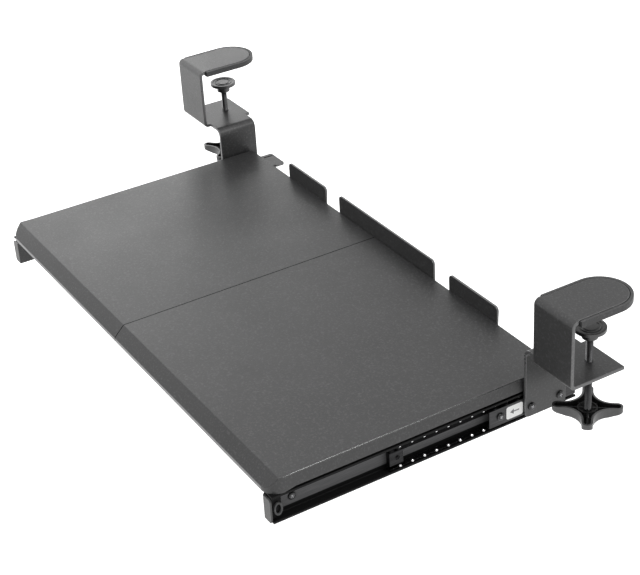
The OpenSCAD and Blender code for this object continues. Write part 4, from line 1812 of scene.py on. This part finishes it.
    def screw(self, side: Side) -> Blank:
        """Turn the thread of one clamp screw.

        Args:
            side: which side.

        Returns:
            The screw.
        """
        low, high = node_box(side.named("clamp_screw"))
        turns = int((high.z - low.z) / self.pitch) - 1
        stub = self.groove / 5
        rod = Blank.plane("thread", (self.thread - self.groove, -stub), (self.thread, stub), 0)
        rod.pick(Pick.VERTS, lambda p: p[0].y > 0)
        bpy.ops.mesh.delete(type="VERT")
        rod.pick(Pick.VERTS, everything).move((0, stub, 0))
        bpy.ops.mesh.select_mode(type="VERT")
        rod.pick(Pick.VERTS, at(x=self.thread)).move((0, 0, self.pitch / 2))
        bpy.ops.mesh.extrude_vertices_move(
            TRANSFORM_OT_translate={"value": (-self.groove, 0, self.pitch / 2)}
        )
        rod.apply(
            "SCREW", axis="Z", steps=20, render_steps=20, iterations=turns, screw_offset=self.pitch,
            use_merge_vertices=True, merge_threshold=Blank.DOUBLE,
        )
        rod.tidy()
        bpy.ops.mesh.select_all(action="DESELECT")
        bpy.ops.mesh.select_mode(type="EDGE")
        bpy.ops.mesh.select_non_manifold()
        bpy.ops.mesh.fill_holes(sides=0)
        rod.tidy().only()
        x = side.value * self.axis[0]
        rod.obj.location = (x, self.axis[1], low.z + (high.z - low.z - (turns + 1) * self.pitch) / 2)
        rod.settle()
        rod.obj.name = side.named("threaded_screw")
        return rod


# Studio


@dataclass(frozen=True)
class Viewpoint:
    """The camera.

    Attributes:
        place: its place in metres.
        azimuth: its direction round the object in degrees.
        elevation: its height over the horizon in degrees.
        roll: its roll in degrees.
        lens: focal length in millimetres on a sensor 36 wide.
    """

    place: Point = (1.12193, -0.67178, 0.65905)
    azimuth: float = 60.387
    elevation: float = 30.616
    roll: float = -3.621
    lens: float = 92.37

    def build(self) -> None:
        """Place the camera."""
        turn, lift, roll = (math.radians(v) for v in (self.azimuth, self.elevation, self.roll))
        back = Vector(
            (math.sin(turn) * math.cos(lift), -math.cos(turn) * math.cos(lift), math.sin(lift))
        )
        right = Vector((0, 0, 1)).cross(back).normalized()
        up = back.cross(right)
        across = math.cos(roll) * right + math.sin(roll) * up
        upward = math.cos(roll) * up - math.sin(roll) * right
        data = bpy.data.cameras.new("picture_camera")
        data.lens = self.lens
        data.sensor_width = 36.0
        data.sensor_fit = "HORIZONTAL"
        data.clip_end = 50.0
        camera = bpy.data.objects.new("picture_camera", data)
        bpy.context.scene.collection.objects.link(camera)
        axes = Matrix((across, upward, back)).transposed()
        camera.matrix_world = Matrix.Translation(self.place) @ axes.to_4x4()
        bpy.context.scene.camera = camera


@dataclass(frozen=True)
class SoftPanel:
    """A soft light panel.

    Attributes:
        name: name of the lamp.
        place: where it stands in metres.
        aim: the point it faces.
        size: width and height in metres.
        power: its power in watts.
    """

    name: str
    place: Point
    aim: Point
    size: Pair
    power: float

    def build(self) -> None:
        """Hang the panel."""
        data = bpy.data.lights.new(self.name, "AREA")
        data.shape = "RECTANGLE"
        data.size, data.size_y = self.size
        data.energy = self.power
        lamp = bpy.data.objects.new(self.name, data)
        bpy.context.scene.collection.objects.link(lamp)
        lamp.location = self.place
        way = Vector(self.aim) - Vector(self.place)
        lamp.rotation_euler = way.to_track_quat("-Z", "Y").to_euler()


@dataclass
class Studio:
    """A pale floor, soft panels and a white surround.

    Attributes:
        floor_level: Z of the floor in metres.
        floor_size: width of the floor in metres.
        fill: strength of the surround as light.
        paper: grey level of the floor.
        matte: its roughness.
        sheen: its specular level.
        lift: how much it is lightened where it is seen.
        panels: the soft panels.
    """

    floor_level: float = -0.42
    floor_size: float = 14.0
    fill: float = 0.85
    paper: float = 0.82
    matte: float = 0.9
    sheen: float = 0.1
    lift: float = 0.5
    panels: tuple[SoftPanel, ...] = (
        SoftPanel("left_panel", (-1.55, 0.0, 0.2), (0.0, 0.0, 0.0), (1.5, 1.1), 13.0),
        SoftPanel("back_panel", (0.9, 0.36, 1.25), (0.15, -0.15, -0.1), (0.4, 0.22), 9.0),
        SoftPanel("top_panel", (0.2, -0.5, 2.2), (0.0, -0.1, -0.1), (1.6, 1.6), 16.0),
    )

    def build(self) -> None:
        """Set up floor, surround, panels, camera and colour."""
        self.build_floor()
        self.build_surround()
        for panel in self.panels:
            panel.build()
        Viewpoint().build()
        bpy.context.scene.view_settings.view_transform = "Standard"

    def build_floor(self) -> None:
        """Lay the floor."""
        Blank.clear()
        bpy.ops.mesh.primitive_plane_add(size=self.floor_size, location=(0, 0, self.floor_level))
        floor = bpy.context.object
        floor.name = "studio_floor"
        floor.data.materials.append(self.floor_paper())

    @staticmethod
    def seen_directly(wiring: Wiring) -> Socket:
        """Mask of camera, glossy and transmission rays.

        Args:
            wiring: the tree that gets the nodes.

        Returns:
            The mask.
        """
        rays = wiring.node("LightPath", {}).outputs
        first = wiring.sums("MAXIMUM", rays["Is Camera Ray"], rays["Is Glossy Ray"])
        return wiring.sums("MAXIMUM", first, rays["Is Transmission Ray"])

    def floor_paper(self) -> bpy.types.Material:
        """White studio paper that still takes the shadow.

        Returns:
            The material.
        """
        material = bpy.data.materials.new("studio_paper")
        material.use_nodes = True
        nodes = material.node_tree.nodes
        wiring = Wiring(material.node_tree)
        paper = nodes["Principled BSDF"]
        tone = (self.paper, self.paper, self.paper, 1.0)
        feeds = {"Base Color": tone, "Roughness": self.matte, "Specular IOR Level": self.sheen}
        wiring.feed(paper, feeds)
        strength = wiring.sums("MULTIPLY", self.seen_directly(wiring), self.lift)
        lift = wiring.node("Emission", {"Color": WHITE, "Strength": strength})
        both = wiring.node("AddShader", {0: paper.outputs[0], 1: lift.outputs[0]})
        wiring.feed(nodes["Material Output"], {"Surface": both.outputs[0]})
        return material

    def build_surround(self) -> None:
        """White where it is seen or mirrored, and a softer fill as light."""
        world = bpy.data.worlds.new("white_surround")
        world.use_nodes = True
        bpy.context.scene.world = world
        nodes = world.node_tree.nodes
        wiring = Wiring(world.node_tree)
        fill = nodes["Background"]
        wiring.feed(fill, {"Color": WHITE, "Strength": self.fill})
        white = wiring.node("Background", {"Color": WHITE, "Strength": 1.0})
        feeds = {"Fac": self.seen_directly(wiring), 1: fill.outputs[0], 2: white.outputs[0]}
        mix = wiring.node("MixShader", feeds)
        wiring.feed(nodes["World Output"], {"Surface": mix.outputs[0]})


def main() -> None:
    logging.basicConfig(level=logging.INFO, format="%(message)s")
    Studio().build()
    Platform().build()
    Fasteners().build()
    for side in Side:
        BallSlide(side).build()
    DeskClamp().build()
    Blank.clear()


if __name__ == "__main__":
    main()
